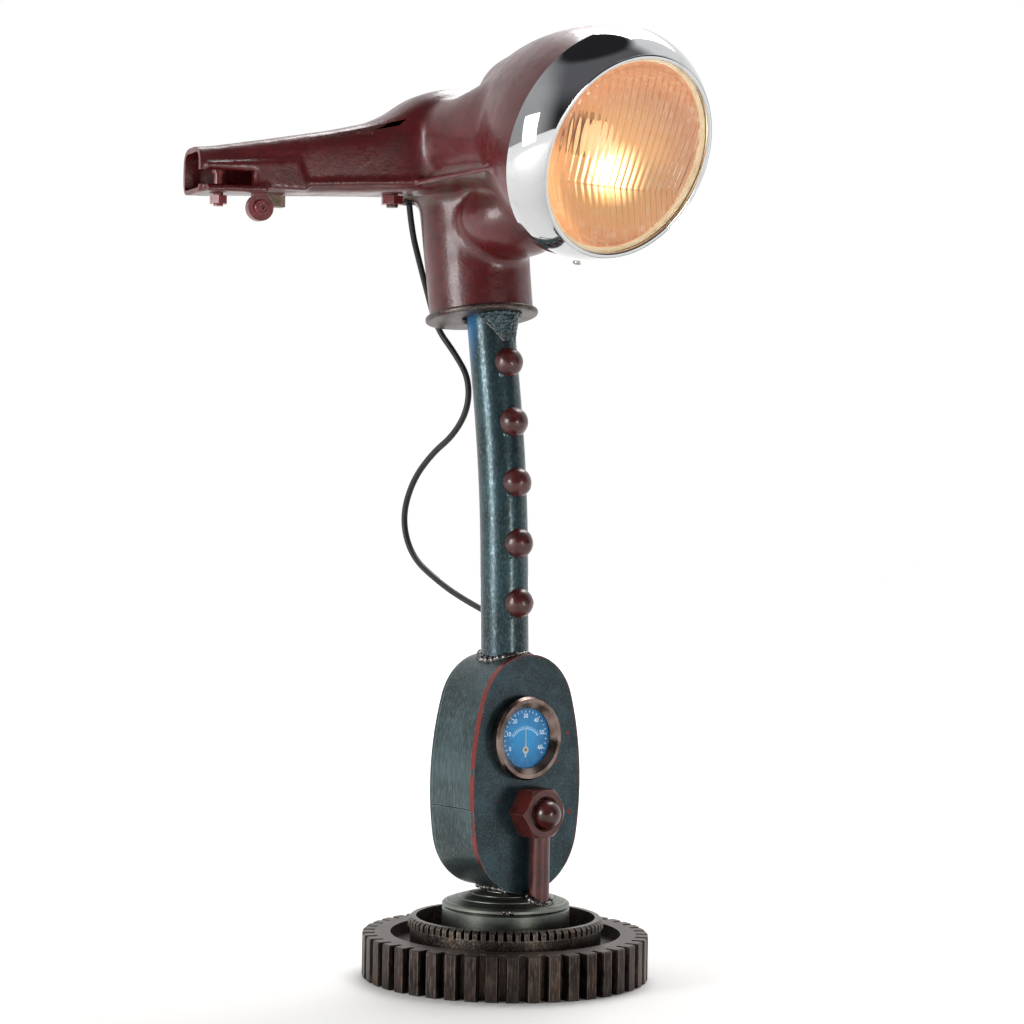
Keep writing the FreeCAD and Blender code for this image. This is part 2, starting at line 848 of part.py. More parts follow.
def make_terminal_block():
    block = doc.addObject("Part::Box", "terminal_block")
    block.Label = "terminal_block"
    bind(block, "Length", d.block_width)
    bind(block, "Width", d.block_depth)
    bind(block, "Height", d.block_height)
    place(block, -(d.block_width / 2), cover_face - d.block_depth,
          drum_bottom + d.gland_height + d.block_above_gland)


# Gauge, in its own frame: Z points forward out of the plate, whose face is at zero

def place_on_plate(body, x, z):
    place(body, x, d.plate_front, z, sideways, 90)


def make_gauge():
    flange_radius = d.bezel_radius - d.bezel_skirt - d.gauge_flange_fit
    inner = d.gauge_can_radius - d.gauge_can_wall
    back = -d.gauge_can_depth
    can = turned("gauge_can", [
        (0, back), (d.gauge_can_radius, back), (d.gauge_can_radius, 0), (flange_radius, 0),
        (flange_radius, d.gauge_flange), (inner, d.gauge_flange), (inner, back + d.gauge_can_wall),
        (0, back + d.gauge_can_wall),
    ])
    dial_face = d.gauge_flange + d.dial_thickness
    dial = new_body("gauge_dial")
    sketch = new_sketch(dial, "XY_Plane", "dial_outline", at=(0, 0, d.gauge_flange))
    circle(sketch, 0, 0, d.dial_radius)
    circle(sketch, 0, -d.needle_drop, d.pivot_radius + d.dial_hole_fit)
    pad(dial, sketch, d.dial_thickness)

    movement = new_body("gauge_movement")
    sketch = new_sketch(movement, "XY_Plane", "movement_outline", at=(0, 0, back + d.gauge_can_wall))
    circle(sketch, 0, -d.needle_drop, d.movement_radius)
    pad(movement, sketch, d.gauge_can_depth - d.gauge_can_wall - d.movement_gap)
    shaft = new_sketch(movement, "XY_Plane", "shaft_outline", at=(0, 0, -d.movement_gap))
    circle(shaft, 0, -d.needle_drop, d.pivot_radius)
    pad(movement, shaft, d.movement_gap + dial_face + d.needle_gap + d.needle_thickness + d.pivot_end)

    needle = new_body("gauge_needle")
    low = dial_face + d.needle_gap
    blade = new_sketch(needle, "XY_Plane", "blade_outline", at=(0, 0, low))
    half = d.needle_width / 2
    tip = d.needle_tip / 2
    pivot_y = -d.needle_drop
    loop(blade, [
        (-half, pivot_y - d.needle_tail), (half, pivot_y - d.needle_tail),
        (tip, pivot_y + d.needle_length), (-tip, pivot_y + d.needle_length),
    ])
    pad(needle, blade, d.needle_thickness)
    hub = new_sketch(needle, "XY_Plane", "hub_outline", at=(0, 0, low))
    circle(hub, 0, pivot_y, d.needle_hub)
    pad(needle, hub, d.needle_thickness)
    bore = new_sketch(needle, "XY_Plane", "hub_bore", at=(0, 0, low))
    circle(bore, 0, pivot_y, d.pivot_radius + d.pivot_fit)
    pocket(needle, bore, back=True)

    glass_top = d.bezel_depth - d.bezel_slope - d.bezel_lip
    bezel_inside = d.bezel_radius - d.bezel_skirt
    glass = turned("gauge_glass", [
        (0, glass_top - d.glass_thickness), (flange_radius, glass_top - d.glass_thickness),
        (flange_radius, glass_top), (0, glass_top),
    ])
    bezel = turned("gauge_bezel", [
        (bezel_inside, 0), (d.bezel_radius, 0), (d.bezel_radius, d.bezel_depth - d.bezel_round_depth),
        (d.bezel_radius - d.bezel_round_width, d.bezel_depth),
        (d.bezel_window + d.bezel_slope_width, d.bezel_depth),
        (d.bezel_window, glass_top + d.bezel_lip), (d.bezel_window, glass_top), (bezel_inside, glass_top),
    ])

    clamp = new_body("gauge_clamp")
    inside = d.gauge_can_radius + d.clamp_gap
    outside = inside + d.clamp_thickness
    rear = back - d.clamp_thickness
    sketch = new_sketch(clamp, "XZ_Plane", "clamp_outline")
    loop(sketch, [
        (inside, -d.plate_thickness), (inside, back), (-inside, back), (-inside, -d.plate_thickness),
        (-outside, -d.plate_thickness), (-outside, rear), (outside, rear), (outside, -d.plate_thickness),
    ])
    pad(clamp, sketch, d.clamp_width, both=True)
    holes = new_sketch(clamp, "XY_Plane", "clamp_holes")
    studs = new_body("gauge_studs")
    stud_outline = new_sketch(studs, "XY_Plane", "stud_outline", at=(0, 0, back))
    nuts = new_body("gauge_nuts")
    nut_outline = new_sketch(nuts, "XY_Plane", "gauge_nut_outline", at=(0, 0, rear))
    for x in (d.stud_spread, -d.stud_spread):
        circle(holes, x, 0, d.stud_radius + d.screw_fit)
        circle(stud_outline, x, 0, d.stud_radius)
        circle(nut_outline, x, 0, d.gauge_nut_radius)
        circle(nut_outline, x, 0, d.stud_radius + d.screw_fit)
    pocket(clamp, holes)
    pad(studs, stud_outline, d.clamp_thickness + d.gauge_nut_thickness + d.stud_end, back=True)
    pad(nuts, nut_outline, d.gauge_nut_thickness, back=True)
    for body in (can, dial, movement, needle, glass, bezel, clamp, studs, nuts):
        place_on_plate(body, d.gauge_x, gauge_z)


# Push button: the ball slides in the bush that the big nut clamps to the plate

def make_button():
    nut = new_body("hex_nut")
    outline = new_sketch(nut, "XY_Plane", "nut_outline")
    hexagon(outline, d.nut_flats)
    circle(outline, 0, 0, d.nut_bore)
    pad(nut, outline, d.nut_thickness)
    top = d.nut_thickness
    edge = new_sketch(nut, "XZ_Plane", "nut_edges")
    corner = d.nut_flats / math.sqrt(3) + d.cut_past
    bore_side = d.nut_bore - d.cut_past
    loop(edge, [(d.nut_flats / 2, top), (corner, top - d.nut_chamfer * 1.5), (corner, top)])
    loop(edge, [
        (bore_side, top), (bore_side, top - d.nut_chamfer - d.cut_past), (d.nut_bore + d.nut_chamfer, top),
    ])
    spin(nut, edge, cut=True)

    face = -d.plate_thickness
    rear = face - d.switch_depth
    bush = d.nut_bore - d.bush_fit
    bore = d.button_stem + d.button_fit
    cavity_top = face - d.switch_wall
    cavity_floor = rear + d.switch_wall
    switch = turned("switch_body", [
        (0, rear), (d.switch_radius, rear), (d.switch_radius, face), (bush, face), (bush, d.bush_reach),
        (bore, d.bush_reach), (bore, cavity_top), (d.cavity_radius, cavity_top), (d.cavity_radius, cavity_floor),
        (0, cavity_floor),
    ])
    centre = d.nut_thickness + d.ball_stand
    seat = centre - root(d.ball_radius * d.ball_radius - d.button_stem * d.button_stem)
    head_top = cavity_top - d.button_fit
    head_low = head_top - d.button_head_depth
    ball = turned("button_ball", [
        (0, head_low), (d.button_head, head_low), (d.button_head, head_top), (d.button_stem, head_top),
        (d.button_stem, seat, d.ball_radius, -1), (0, centre + d.ball_radius),
    ])
    spring_top = head_low - d.button_travel - d.button_fit
    spring = turned("button_spring", [
        (d.button_head - d.spring_wall, cavity_floor), (d.button_head, cavity_floor),
        (d.button_head, spring_top), (d.button_head - d.spring_wall, spring_top),
    ])
    for body in (nut, switch, ball, spring):
        place_on_plate(body, d.nut_x, nut_z)


def make_stay_rod():
    body = new_body("stay_rod")
    start = collar_top + d.cap_lip
    end = nut_z - d.nut_flats / 2 - d.rod_gap
    outline = new_sketch(body, "XY_Plane", "rod_outline", at=(0, 0, start))
    circle(outline, d.rod_x, rod_y, d.rod_radius)
    pad(body, outline, end - start)
    under_dome = new_sketch(body, "XZ_Plane", "under_dome")
    loop(under_dome, [
        (0, start - d.cut_past), (cap_edge, start - d.cut_past),
        (cap_edge, start + d.rod_gap, dome_curve, -1), (0, cap_top + d.rod_gap),
    ])
    spin(body, under_dome, cut=True)


# Stem

def stem_route():
    """The centre line's corners in the YZ plane: foot, two ends of the bend, top."""
    half_turn = (d.head_lean - d.stem_foot_lean) / 2
    reach = d.stem_bend_radius * tangent(half_turn)
    foot_y = d.stem_foot_y - tangent(d.stem_foot_lean) * d.stem_below
    return [
        (foot_y, band_top - d.stem_below),
        (bend_y - sine(d.stem_foot_lean) * reach, d.stem_bend_height - cosine(d.stem_foot_lean) * reach,
         d.stem_bend_radius, 1),
        (bend_y + sine(d.head_lean) * reach, d.stem_bend_height + cosine(d.head_lean) * reach),
        (stem_top_y, stem_top_z),
    ]


def stem_pipe(body, name, radii, cut=False):
    """A pipe of the given radii along the stem's centre line, to add or to cut."""
    route = new_sketch(body, "YZ_Plane", f"{name}_route")
    corners = stem_route()
    loop(route, corners, closed=False)
    section = new_sketch(body, "XY_Plane", f"{name}_section", at=(0, corners[0][0], corners[0][1]),
                         axis=sideways, angle=-d.stem_foot_lean)
    for radius in radii:
        circle(section, 0, 0, radius)
    pipe = body.newObject(f"PartDesign::{'Subtractive' if cut else 'Additive'}Pipe", f"{name}_pipe")
    pipe.Profile = section
    pipe.Spine = (route, ["Edge1", "Edge2", "Edge3"])
    return pipe


def make_stem_tube():
    body = new_body("stem_tube")
    stem_pipe(body, "stem", (d.stem_radius, d.stem_radius - d.stem_wall))
    seat = new_sketch(body, "XZ_Plane", "foot_seat")
    circle(seat, 0, drum_bottom + d.drum_height - d.oval_top_radius,
           d.oval_top_radius - d.band_inset + d.stem_gap)
    pocket(body, seat, both=True)
    entry = new_sketch(body, "XZ_Plane", "lead_entry")
    circle(entry, 0, d.entry_height, d.entry_radius + d.stem_gap)
    pocket(body, entry)


def make_stem_gusset():
    body = new_body("stem_gusset")
    outline = new_sketch(body, "YZ_Plane", "gusset_outline", at=(stem_top_y, stem_top_z, 0),
                         axis=upright, angle=-d.head_lean)
    inner = -(d.stem_radius * 0.6)
    loop(outline, [
        (-(d.stem_radius + d.gusset_low_reach), -gusset_height), (inner, -gusset_height), (inner, -d.stem_gap),
        (-(d.stem_radius + d.gusset_reach), -d.stem_gap),
    ])
    pad(body, outline, d.gusset_width, both=True)
    stem_pipe(body, "gusset_cut", (d.stem_radius + d.stem_gap,), cut=True)


def stem_line():
    """The stem's centre line as a wire, and a function that gives its place and lean at a height."""
    foot, bend_start, bend_end, top = [Vector(0, number(corner[0]), number(corner[1])) for corner in stem_route()]
    lean = math.radians(number(d.stem_foot_lean))
    radius = number(d.stem_bend_radius)
    centre = bend_start.add(Vector(0, math.cos(lean), -math.sin(lean)) * radius)
    middle_lean = math.radians((number(d.stem_foot_lean) + number(d.head_lean)) / 2)
    middle = centre.sub(Vector(0, math.cos(middle_lean), -math.sin(middle_lean)) * radius)
    wire = Part.Wire([
        Part.LineSegment(foot, bend_start).toShape(),
        Part.Arc(bend_start, middle, bend_end).toShape(),
        Part.LineSegment(bend_end, top).toShape(),
    ])

    def at_height(height):
        if height < bend_start.z:
            angle = lean
            along = foot.add(Vector(0, math.tan(angle), 1) * (height - foot.z))
        elif height > bend_end.z:
            angle = math.radians(number(d.head_lean))
            along = top.add(Vector(0, math.tan(angle), 1) * (height - top.z))
        else:
            angle = math.asin((height - centre.z) / radius)
            along = centre.sub(Vector(0, math.cos(angle), -math.sin(angle)) * radius)
        return along, Vector(0, -math.cos(angle), math.sin(angle))

    return wire, at_height


def make_stem_domes():
    wire, at_height = stem_line()
    start = wire.Edges[0].Vertexes[0].Point
    foot_lean = math.radians(number(d.stem_foot_lean))
    ring = Part.Circle(start, Vector(0, math.sin(foot_lean), math.cos(foot_lean)),
                       number(d.stem_radius) + number(d.stem_gap)).toShape()
    envelope = wire.makePipeShell([Part.Wire(ring)], True, False)
    domes = []
    dots = []
    radius = number(d.dome_radius)
    side_step = Vector(-number(d.dome_dot_across), 0, -number(d.dome_dot_drop))
    for index in range(int(number(d.dome_count))):
        centre, forward = at_height(number(stem_top_z - d.dome_drop - d.dome_pitch * index))
        middle = centre.add(forward * number(d.dome_offset))
        domes.append(Part.makeSphere(radius, middle, forward).cut(envelope))
        dot_place = centre.add(forward * number(d.dome_dot_out)).add(side_step)
        clear = Part.makeSphere(radius + number(d.stem_gap), middle, forward)
        dots.append(Part.makeSphere(number(d.dome_dot_radius), dot_place).cut(envelope).cut(clear))
    solids("stem_domes", domes)
    solids("dome_weld_dots", dots)


def make_stem_welds():
    """A bead round the stem's foot and one under the disc, each sunk a little into the corner it fills."""
    radius = number(d.stem_radius)
    bead = number(d.foot_weld)
    foot = Vector(0, number(d.stem_foot_y), number(band_top) - bead * 0.3)
    solids("stem_foot_weld", [Part.makeTorus(radius + bead * 0.3, bead, foot)])
    bead = number(d.top_weld)
    lean = math.radians(number(d.head_lean))
    up = Vector(0, math.sin(lean), math.cos(lean))
    top = Vector(0, number(stem_top_y), number(stem_top_z)).sub(up * (bead * 0.6))
    solids("stem_top_weld", [Part.makeTorus(radius + bead * 0.3, bead, top, up)])


def make_stem_grommet():
    surface = d.stem_foot_y + tangent(d.stem_foot_lean) * (d.entry_height - band_top) + d.stem_radius
    inside = -(d.stem_wall + d.entry_inside)
    body = turned("lead_grommet_stem", [
        (d.entry_bore, inside), (d.entry_radius, inside), (d.entry_radius, d.entry_gap), (d.entry_flange, d.entry_gap),
        (d.entry_flange, d.entry_flange_thickness), (d.entry_bore, d.entry_flange_thickness),
    ])
    place(body, y=surface, z=d.entry_height, axis=sideways, angle=-90)


# Head, in the column's frame: Z runs up the neck, zero is the disc's top

def place_on_column(body):
    place(body, 0, head_y, head_z, sideways, -d.head_lean)


def make_head_disc():
    edge = d.disc_round
    low = -d.disc_thickness
    disc = turned("head_disc", [
        (0, low), (d.disc_radius - edge, low, edge, -1), (d.disc_radius, low + edge), (d.disc_radius, -edge, edge, -1),
        (d.disc_radius - edge, 0), (0, 0),
    ])
    outer = d.neck_foot_radius - d.neck_wall - d.swivel_fit
    spigot = turned("head_spigot", [
        (outer - d.spigot_wall, 0), (outer, 0), (outer, d.spigot_height - d.spigot_edge),
        (outer - d.spigot_edge, d.spigot_height), (outer - d.spigot_wall, d.spigot_height),
    ])
    for body in (disc, spigot):
        place_on_column(body)


def arm_section(body, name, side, reach, depth, low, top, bend, inset):
    """One cross-section of an arm, square to it, moved in by inset."""
    away = reach * cosine(d.arm_sweep) * side
    back = arm_y + reach * sine(d.arm_sweep)
    sketch = new_sketch(body, "YZ_Plane", name, at=(back, head_z, away), axis=Vector(0, 1, 0),
                        angle=d.arm_sweep * side)
    rounded_box(sketch, inset - depth, low + inset, depth - inset, top - inset, bend - inset)
    return sketch


def arm_loft(body, side, cut):
    label = "left" if side < 0 else "right"
    prefix = f"{label}_arm_{'inside' if cut else 'outside'}"
    inset = d.arm_wall if cut else zero
    end = d.arm_length + d.cut_past if cut else d.arm_length
    stations = (
        (zero, d.arm_root_depth, d.arm_root_low, d.arm_root_top, d.arm_root_round),
        (d.arm_shoulder_reach, d.arm_shoulder_depth, d.arm_shoulder_low, d.arm_shoulder_top, d.arm_shoulder_round),
        (d.arm_middle_reach, d.arm_middle_depth, d.arm_middle_low, d.arm_middle_top, d.arm_middle_round),
        (end, d.arm_end_depth, d.arm_end_low, d.arm_end_top, d.arm_end_round),
    )
    sections = [
        arm_section(body, f"{prefix}_{index}", side, *station, inset=inset)
        for index, station in enumerate(stations, start=1)
    ]
    kind = "Subtractive" if cut else "Additive"
    loft = body.newObject(f"PartDesign::{kind}Loft", prefix)
    loft.Profile = sections[0]
    loft.Sections = sections[1:]
    loft.Ruled = False


def column_sketch(body, name):
    """A sketch in the neck's upright middle plane: X across the neck, Y up it."""
    return new_sketch(body, "YZ_Plane", name, at=(head_y, head_z, 0), axis=upright, angle=-d.head_lean)


def lamp_sketch(body, name):
    """A sketch in the same plane, with X backwards along the lamp's axis from the bowl's front edge."""
    return new_sketch(body, "YZ_Plane", name, at=(lamp_y, lamp_z, 0), axis=upright, angle=d.lamp_pitch)


def casting_outside(body):
    low = d.neck_height
    column = column_sketch(body, "column_outside")
    loop(column, [
        (0, d.swivel_gap), (d.neck_foot_radius, d.swivel_gap), (d.neck_top_radius, low), (d.body_radius, low),
        (d.body_radius, low + d.body_side), (d.pod_radius, d.body_top), (d.pod_radius, d.pod_top), (0, d.pod_top),
    ])
    spin(body, column)
    bowl = lamp_sketch(body, "bowl_outside")
    loop(bowl, [
        (0, 0), (d.bowl_depth, 0), (d.bowl_depth, d.bowl_end_radius, d.bowl_curve, -1), (0, d.bowl_radius),
    ])
    spin(body, bowl, "H_Axis")
    for side in (-1, 1):
        arm_loft(body, side, cut=False)


def casting_inside(body):
    wall = d.shell_wall
    low = d.neck_height
    past = d.cut_past
    bore = d.neck_foot_radius - d.neck_wall
    ledge = d.pod_radius - wall - d.cover_ledge
    seat = d.pod_top - d.cover_thickness
    column = column_sketch(body, "column_inside")
    loop(column, [
        (0, -past), (bore, -past), (bore, low + wall), (d.body_radius - wall, low + wall),
        (d.body_radius - wall, low + d.body_side), (d.pod_radius - wall, d.body_top),
        (ledge, d.body_top + wall), (ledge, seat), (d.pod_radius - wall, seat), (d.pod_radius - wall, d.pod_top + past),
        (0, d.pod_top + past),
    ])
    spin(body, column, cut=True)
    bowl = lamp_sketch(body, "bowl_inside")
    deep = d.bowl_depth - wall * 2
    loop(bowl, [
        (-past, 0), (deep, 0), (deep, d.bowl_end_radius - wall, d.bowl_curve, -1), (-past, d.bowl_radius - wall),
    ])
    spin(body, bowl, "H_Axis", cut=True)
    for side in (-1, 1):
        arm_loft(body, side, cut=True)


def casting_openings(body):
    """The slot in each arm's end with its pivot hole, and the holes for the arm bolt, lead and set screw."""
    run = d.hole_run
    for side in (-1, 1):
        window = new_sketch(body, "XZ_Plane", f"window_{side + 2}", at=(0, head_z, -arm_y),
                            axis=Vector(0, 1, 0), angle=d.arm_sweep * side)
        sill = arm_low(d.pivot_reach) + d.arm_wall + d.window_sill
        end = d.arm_length + d.cut_past
        near, far = (d.window_start, end) if side > 0 else (-end, -d.window_start)
        rectangle(window, near, sill, far, sill + d.window_height)
        pocket(body, window, back=True)
        hole = new_sketch(body, "XY_Plane", f"pivot_hole_{side + 2}", at=(0, 0, head_z + d.arm_end_low - run))
        x, y = arm_place(d.pivot_reach, -d.pivot_across, side)
        circle(hole, x, y, d.pivot_bolt_radius + d.pivot_bolt_fit)
        pocket(body, hole, run * 2, back=True)
    hole = new_sketch(body, "XY_Plane", "arm_bolt_hole", at=(0, 0, head_z + d.arm_shoulder_low - run))
    x, y = arm_place(d.arm_bolt_reach, zero, -1)
    circle(hole, x, y, d.arm_bolt_radius + d.set_screw_fit)
    pocket(body, hole, run * 2, back=True)
    lead_exit = new_sketch(body, "XY_Plane", "lead_exit", at=(0, head_y, head_z), axis=sideways, angle=-d.head_lean)
    circle(lead_exit, cosine(d.exit_angle) * d.exit_reach, sine(d.exit_angle) * d.exit_reach,
           d.exit_radius + d.set_screw_fit)
    pocket(body, lead_exit, d.neck_height + d.exit_cut, back=True)
    screw = new_sketch(body, "XZ_Plane", "set_screw_hole", at=(0, head_z, -head_y), axis=sideways,
                       angle=-d.head_lean)
    circle(screw, 0, d.set_screw_height, d.set_screw_radius + d.set_screw_fit)
    pocket(body, screw)


def make_headset_casting():
    """The hollow casting: neck, pod, headlamp bowl and two arms, made solid first and then hollowed."""
    body = new_body("headset_casting")
    casting_outside(body)
    casting_inside(body)
    casting_openings(body)


def arm_low(reach):
    """The height of an arm's underside above the disc at a distance from the column."""
    share = (reach - d.arm_middle_reach) / (d.arm_length - d.arm_middle_reach)
    return d.arm_middle_low + (d.arm_end_low - d.arm_middle_low) * share


def arm_place(reach, across, side):
    """X and Y of a point on an arm: reach along it and across towards the back."""
    x = (reach * cosine(d.arm_sweep) - across * sine(d.arm_sweep)) * side
    y = arm_y + reach * sine(d.arm_sweep) + across * cosine(d.arm_sweep)
    return x, y


def make_pod_cover():
    radius = d.pod_radius - d.shell_wall - d.cover_fit
    seat = d.pod_top - d.cover_thickness
    cover = turned("pod_cover", [
        (0, seat), (radius, seat), (radius, d.pod_top - d.cover_edge), (radius - d.cover_edge, d.pod_top),
        (0, d.pod_top),
    ])
    place_on_column(cover)


def make_set_screw():
    """The screw at the back of the neck that locks the head to its spigot."""
    spigot = d.neck_foot_radius - d.neck_wall
    screw = turned("neck_set_screw", [
        (0, spigot), (d.set_screw_radius, spigot), (d.set_screw_radius, d.neck_foot_radius - d.set_screw_edge),
        (d.set_screw_radius - d.set_screw_edge, d.neck_foot_radius), (0, d.neck_foot_radius),
    ])
    rise = d.set_screw_height
    place(screw, 0, head_y + rise * sine(d.head_lean), head_z + rise * cosine(d.head_lean), sideways,
          -d.head_lean - 90)


def make_arm_bolt():
    x, y = arm_place(d.arm_bolt_reach, zero, -1)
    low = head_z + d.arm_shoulder_low
    end = -d.arm_nut_thickness - d.arm_bolt_end
    seat = d.arm_wall + d.arm_bolt_lift
    top = seat + d.arm_bolt_head
    bolt = turned("arm_bolt", [
        (0, end), (d.arm_bolt_radius, end), (d.arm_bolt_radius, seat), (d.arm_bolt_head_radius, seat),
        (d.arm_bolt_head_radius, top), (0, top),
    ])
    place(bolt, x, y, low)
    nut = new_body("arm_nut")
    outline = new_sketch(nut, "XY_Plane", "arm_nut_outline", at=(0, 0, -d.arm_nut_thickness))
    hexagon(outline, d.arm_nut_flats)
    circle(outline, 0, 0, d.arm_bolt_radius + d.set_screw_fit)
    pad(nut, outline, d.arm_nut_thickness - d.arm_nut_gap)
    place(nut, x, y, low)


def make_head_grommet():
    low = d.neck_height
    body = turned("lead_grommet_head", [
        (d.exit_bore, -d.exit_thickness), (d.exit_flange, -d.exit_thickness), (d.exit_flange, 0),
        (d.exit_radius, 0), (d.exit_radius, d.shell_wall), (d.exit_bore, d.shell_wall),
    ])
    across = sine(d.exit_angle) * d.exit_reach
    y = head_y + across * cosine(d.head_lean) + low * sine(d.head_lean)
    z = head_z - across * sine(d.head_lean) + low * cosine(d.head_lean)
    place(body, cosine(d.exit_angle) * d.exit_reach, y, z, sideways, -d.head_lean)


def make_headlamp():
    """The lamp's pieces in its own frame: Z runs forward, zero is the bowl's front edge."""
    wall = d.rim_wall
    front = d.rim_depth
    back = d.rim_gap
    lip = d.rim_front_radius - d.rim_lip
    rim = turned("headlamp_rim", [
        (d.rim_back_radius - wall, back), (d.rim_back_radius, back, d.rim_curve, -1), (d.rim_front_radius, front),
        (lip, front - wall / 2), (lip, front - wall * 1.5),
        (d.rim_front_radius - wall, front - wall * 1.5, d.rim_curve - wall, 1),
    ])
    hole = new_sketch(rim, "XZ_Plane", "rim_screw_hole")
    ahead = back + d.rim_screw_ahead
    circle(hole, 0, ahead, d.rim_screw_radius + d.screw_fit)
    pocket(rim, hole, back=True)

    gap = d.lamp_gap
    lens_front = front - wall * 1.5 - gap
    lens_back = lens_front - d.lens_thickness
    inside = lip - d.lens_step
    curve = (inside * inside + d.lens_dome * d.lens_dome) / (d.lens_dome * 2)
    lens = turned("headlamp_glass", [
        (0, lens_back + d.lens_dome, curve, 1), (inside, lens_back), (d.lens_radius, lens_back),
        (d.lens_radius, lens_front), (inside, lens_front, curve, -1), (0, lens_front + d.lens_dome),
    ])
    gasket_back = lens_back - d.gasket_thickness
    gasket = turned("lens_gasket", [
        (d.lens_radius - d.gasket_width, gasket_back), (d.lens_radius, gasket_back),
        (d.lens_radius, lens_back - gap), (d.lens_radius - d.gasket_width, lens_back - gap),
    ])
    edge = gasket_back - gap
    mouth = d.lens_radius - d.gasket_width
    deep = edge - d.reflector_depth
    shell = d.reflector_wall
    reflector = turned("reflector", [
        (d.reflector_hole, deep), (d.reflector_hole, deep - shell),
        (d.reflector_hole + shell * 2, deep - shell, d.rim_back_radius, -1),
        (mouth + shell, edge - shell), (d.lens_radius, edge - shell), (d.lens_radius, edge),
        (mouth, edge, d.rim_back_radius, 1), (d.reflector_hole + shell, deep),
    ])
    holder_front = deep - shell - gap
    base_back = holder_front - d.holder_depth
    flange_back = holder_front - d.holder_flange_thickness
    flange = d.holder_radius + d.holder_flange
    bulb_bore = d.bulb_base_radius + gap
    holder = turned("bulb_holder", [
        (bulb_bore, base_back), (d.holder_radius, base_back), (d.holder_radius, flange_back), (flange, flange_back),
        (flange, holder_front), (bulb_bore, holder_front),
    ])
    base_front = base_back + d.bulb_base_length
    bulb_base = turned("bulb_base", [
        (0, base_back), (d.bulb_base_radius, base_back), (d.bulb_base_radius, base_front), (0, base_front),
    ])
    neck = d.bulb_neck
    middle = base_front + root(d.bulb_radius * d.bulb_radius - neck * neck)
    bulb = turned("bulb_glass", [
        (0, base_front), (neck, base_front, d.bulb_radius, -1), (d.bulb_radius, middle, d.bulb_radius, -1),
        (0, middle + d.bulb_radius),
    ])
    for body in (rim, lens, gasket, reflector, holder, bulb_base, bulb):
        place(body, 0, lamp_y, lamp_z, sideways, d.lamp_pitch + 90)

    lift = d.rim_screw_lift
    top = lift + d.rim_screw_head_height
    screw = turned("rim_screw", [
        (0, -d.rim_screw_length), (d.rim_screw_radius, -d.rim_screw_length), (d.rim_screw_radius, lift),
        (d.rim_screw_head_radius, lift), (d.rim_screw_radius, top), (0, top),
    ])
    pitch = d.lamp_pitch
    y = lamp_y - cosine(pitch) * ahead + sine(pitch) * d.rim_back_radius
    z = lamp_z - sine(pitch) * ahead - cosine(pitch) * d.rim_back_radius
    place(screw, 0, y, z, sideways, d.lamp_pitch + 180)


# What is left of the lever fittings on the arm ends

def make_lever_fittings():
    bolts = []
    nuts = []
    lugs = []
    screws = []
    stops = []
    up = upright
    for side in (-1, 1):
        upturn = Rotation(up, number(d.arm_sweep) * side)
        rightward = upturn.multVec(Vector(1, 0, 0))
        rearward = upturn.multVec(Vector(0, 1, 0))

        def at(reach, across, height):
            x, y = arm_place(reach, across, side)
            return Vector(number(x), number(y), number(head_z + arm_low(reach) + height))

        radius = number(d.pivot_bolt_radius)
        nut_thickness = number(d.pivot_nut_thickness)
        end = number(d.pivot_bolt_end)
        foot = at(d.pivot_reach, -d.pivot_across, -d.pivot_nut_gap - d.pivot_nut_thickness)
        grip = number(d.pivot_nut_thickness + d.pivot_nut_gap + d.arm_wall + d.window_height + d.pivot_head_lift)
        shank = Part.makeCylinder(radius, end + grip, foot.sub(up * end), up)
        head = Part.makeCylinder(number(d.pivot_head_radius), number(d.pivot_head_height), foot.add(up * grip), up)
        bolts.append(shank.fuse(head).removeSplitter())
        flats = number(d.pivot_nut_flats) / math.sqrt(3)
        corners = [
            foot.add(Vector(math.cos(math.radians(60 * step)), math.sin(math.radians(60 * step)), 0) * flats)
            for step in range(7)
        ]
        block = Part.Face(Part.makePolygon(corners)).extrude(up * nut_thickness)
        bore = Part.makeCylinder(radius + number(d.pivot_bolt_fit), nut_thickness, foot, up)
        nuts.append(block.cut(bore))

        thickness = number(d.lug_disc_thickness)
        lug_radius = number(d.lug_disc_radius)
        past = number(d.cut_past)
        centre = at(d.lug_reach, -d.pivot_across, -d.lug_drop)
        back_face = centre.add(rearward * (thickness / 2))
        front_face = centre.sub(rearward * (thickness / 2))
        disc = Part.makeCylinder(lug_radius, thickness, back_face, -rearward)
        stalk = Part.makeBox(lug_radius * 1.1, thickness, number(d.lug_drop - d.lug_seat))
        stalk.Placement = Placement(front_face.sub(rightward * (lug_radius * 0.55)), upturn)
        hole_radius = number(d.lug_screw_head) / 2
        hole = Part.makeCylinder(hole_radius + number(d.pivot_bolt_fit), thickness + past * 2,
                                 back_face.add(rearward * past), -rearward)
        lugs.append(disc.fuse(stalk).removeSplitter().cut(hole))
        head = Part.makeCylinder(number(d.lug_screw_head), number(d.lug_screw_height), front_face, -rearward)
        stem = Part.makeCylinder(hole_radius, thickness, back_face, -rearward)
        screws.append(head.fuse(stem).removeSplitter())

        length, width, height = (number(size) for size in (d.stop_length, d.stop_width, d.stop_height))
        corner = at(d.stop_reach, d.stop_across, -d.stop_gap - d.stop_height)
        stop = Part.makeBox(length, width, height)
        stop.Placement = Placement(corner.sub(rightward * (length / 2)).sub(rearward * (width / 2)), upturn)
        cable_hole = Part.makeCylinder(number(d.stop_bore), length * 2,
                                       corner.sub(rightward * length).add(up * (height / 2)), rightward)
        stops.append(stop.cut(cable_hole))
    solids("lever_pivot_bolts", bolts)
    solids("lever_pivot_nuts", nuts)
    solids("cable_lugs", lugs)
    solids("lug_screws", screws)
    solids("cable_stops", stops)


# The free lead from the head's grommet to the stem's

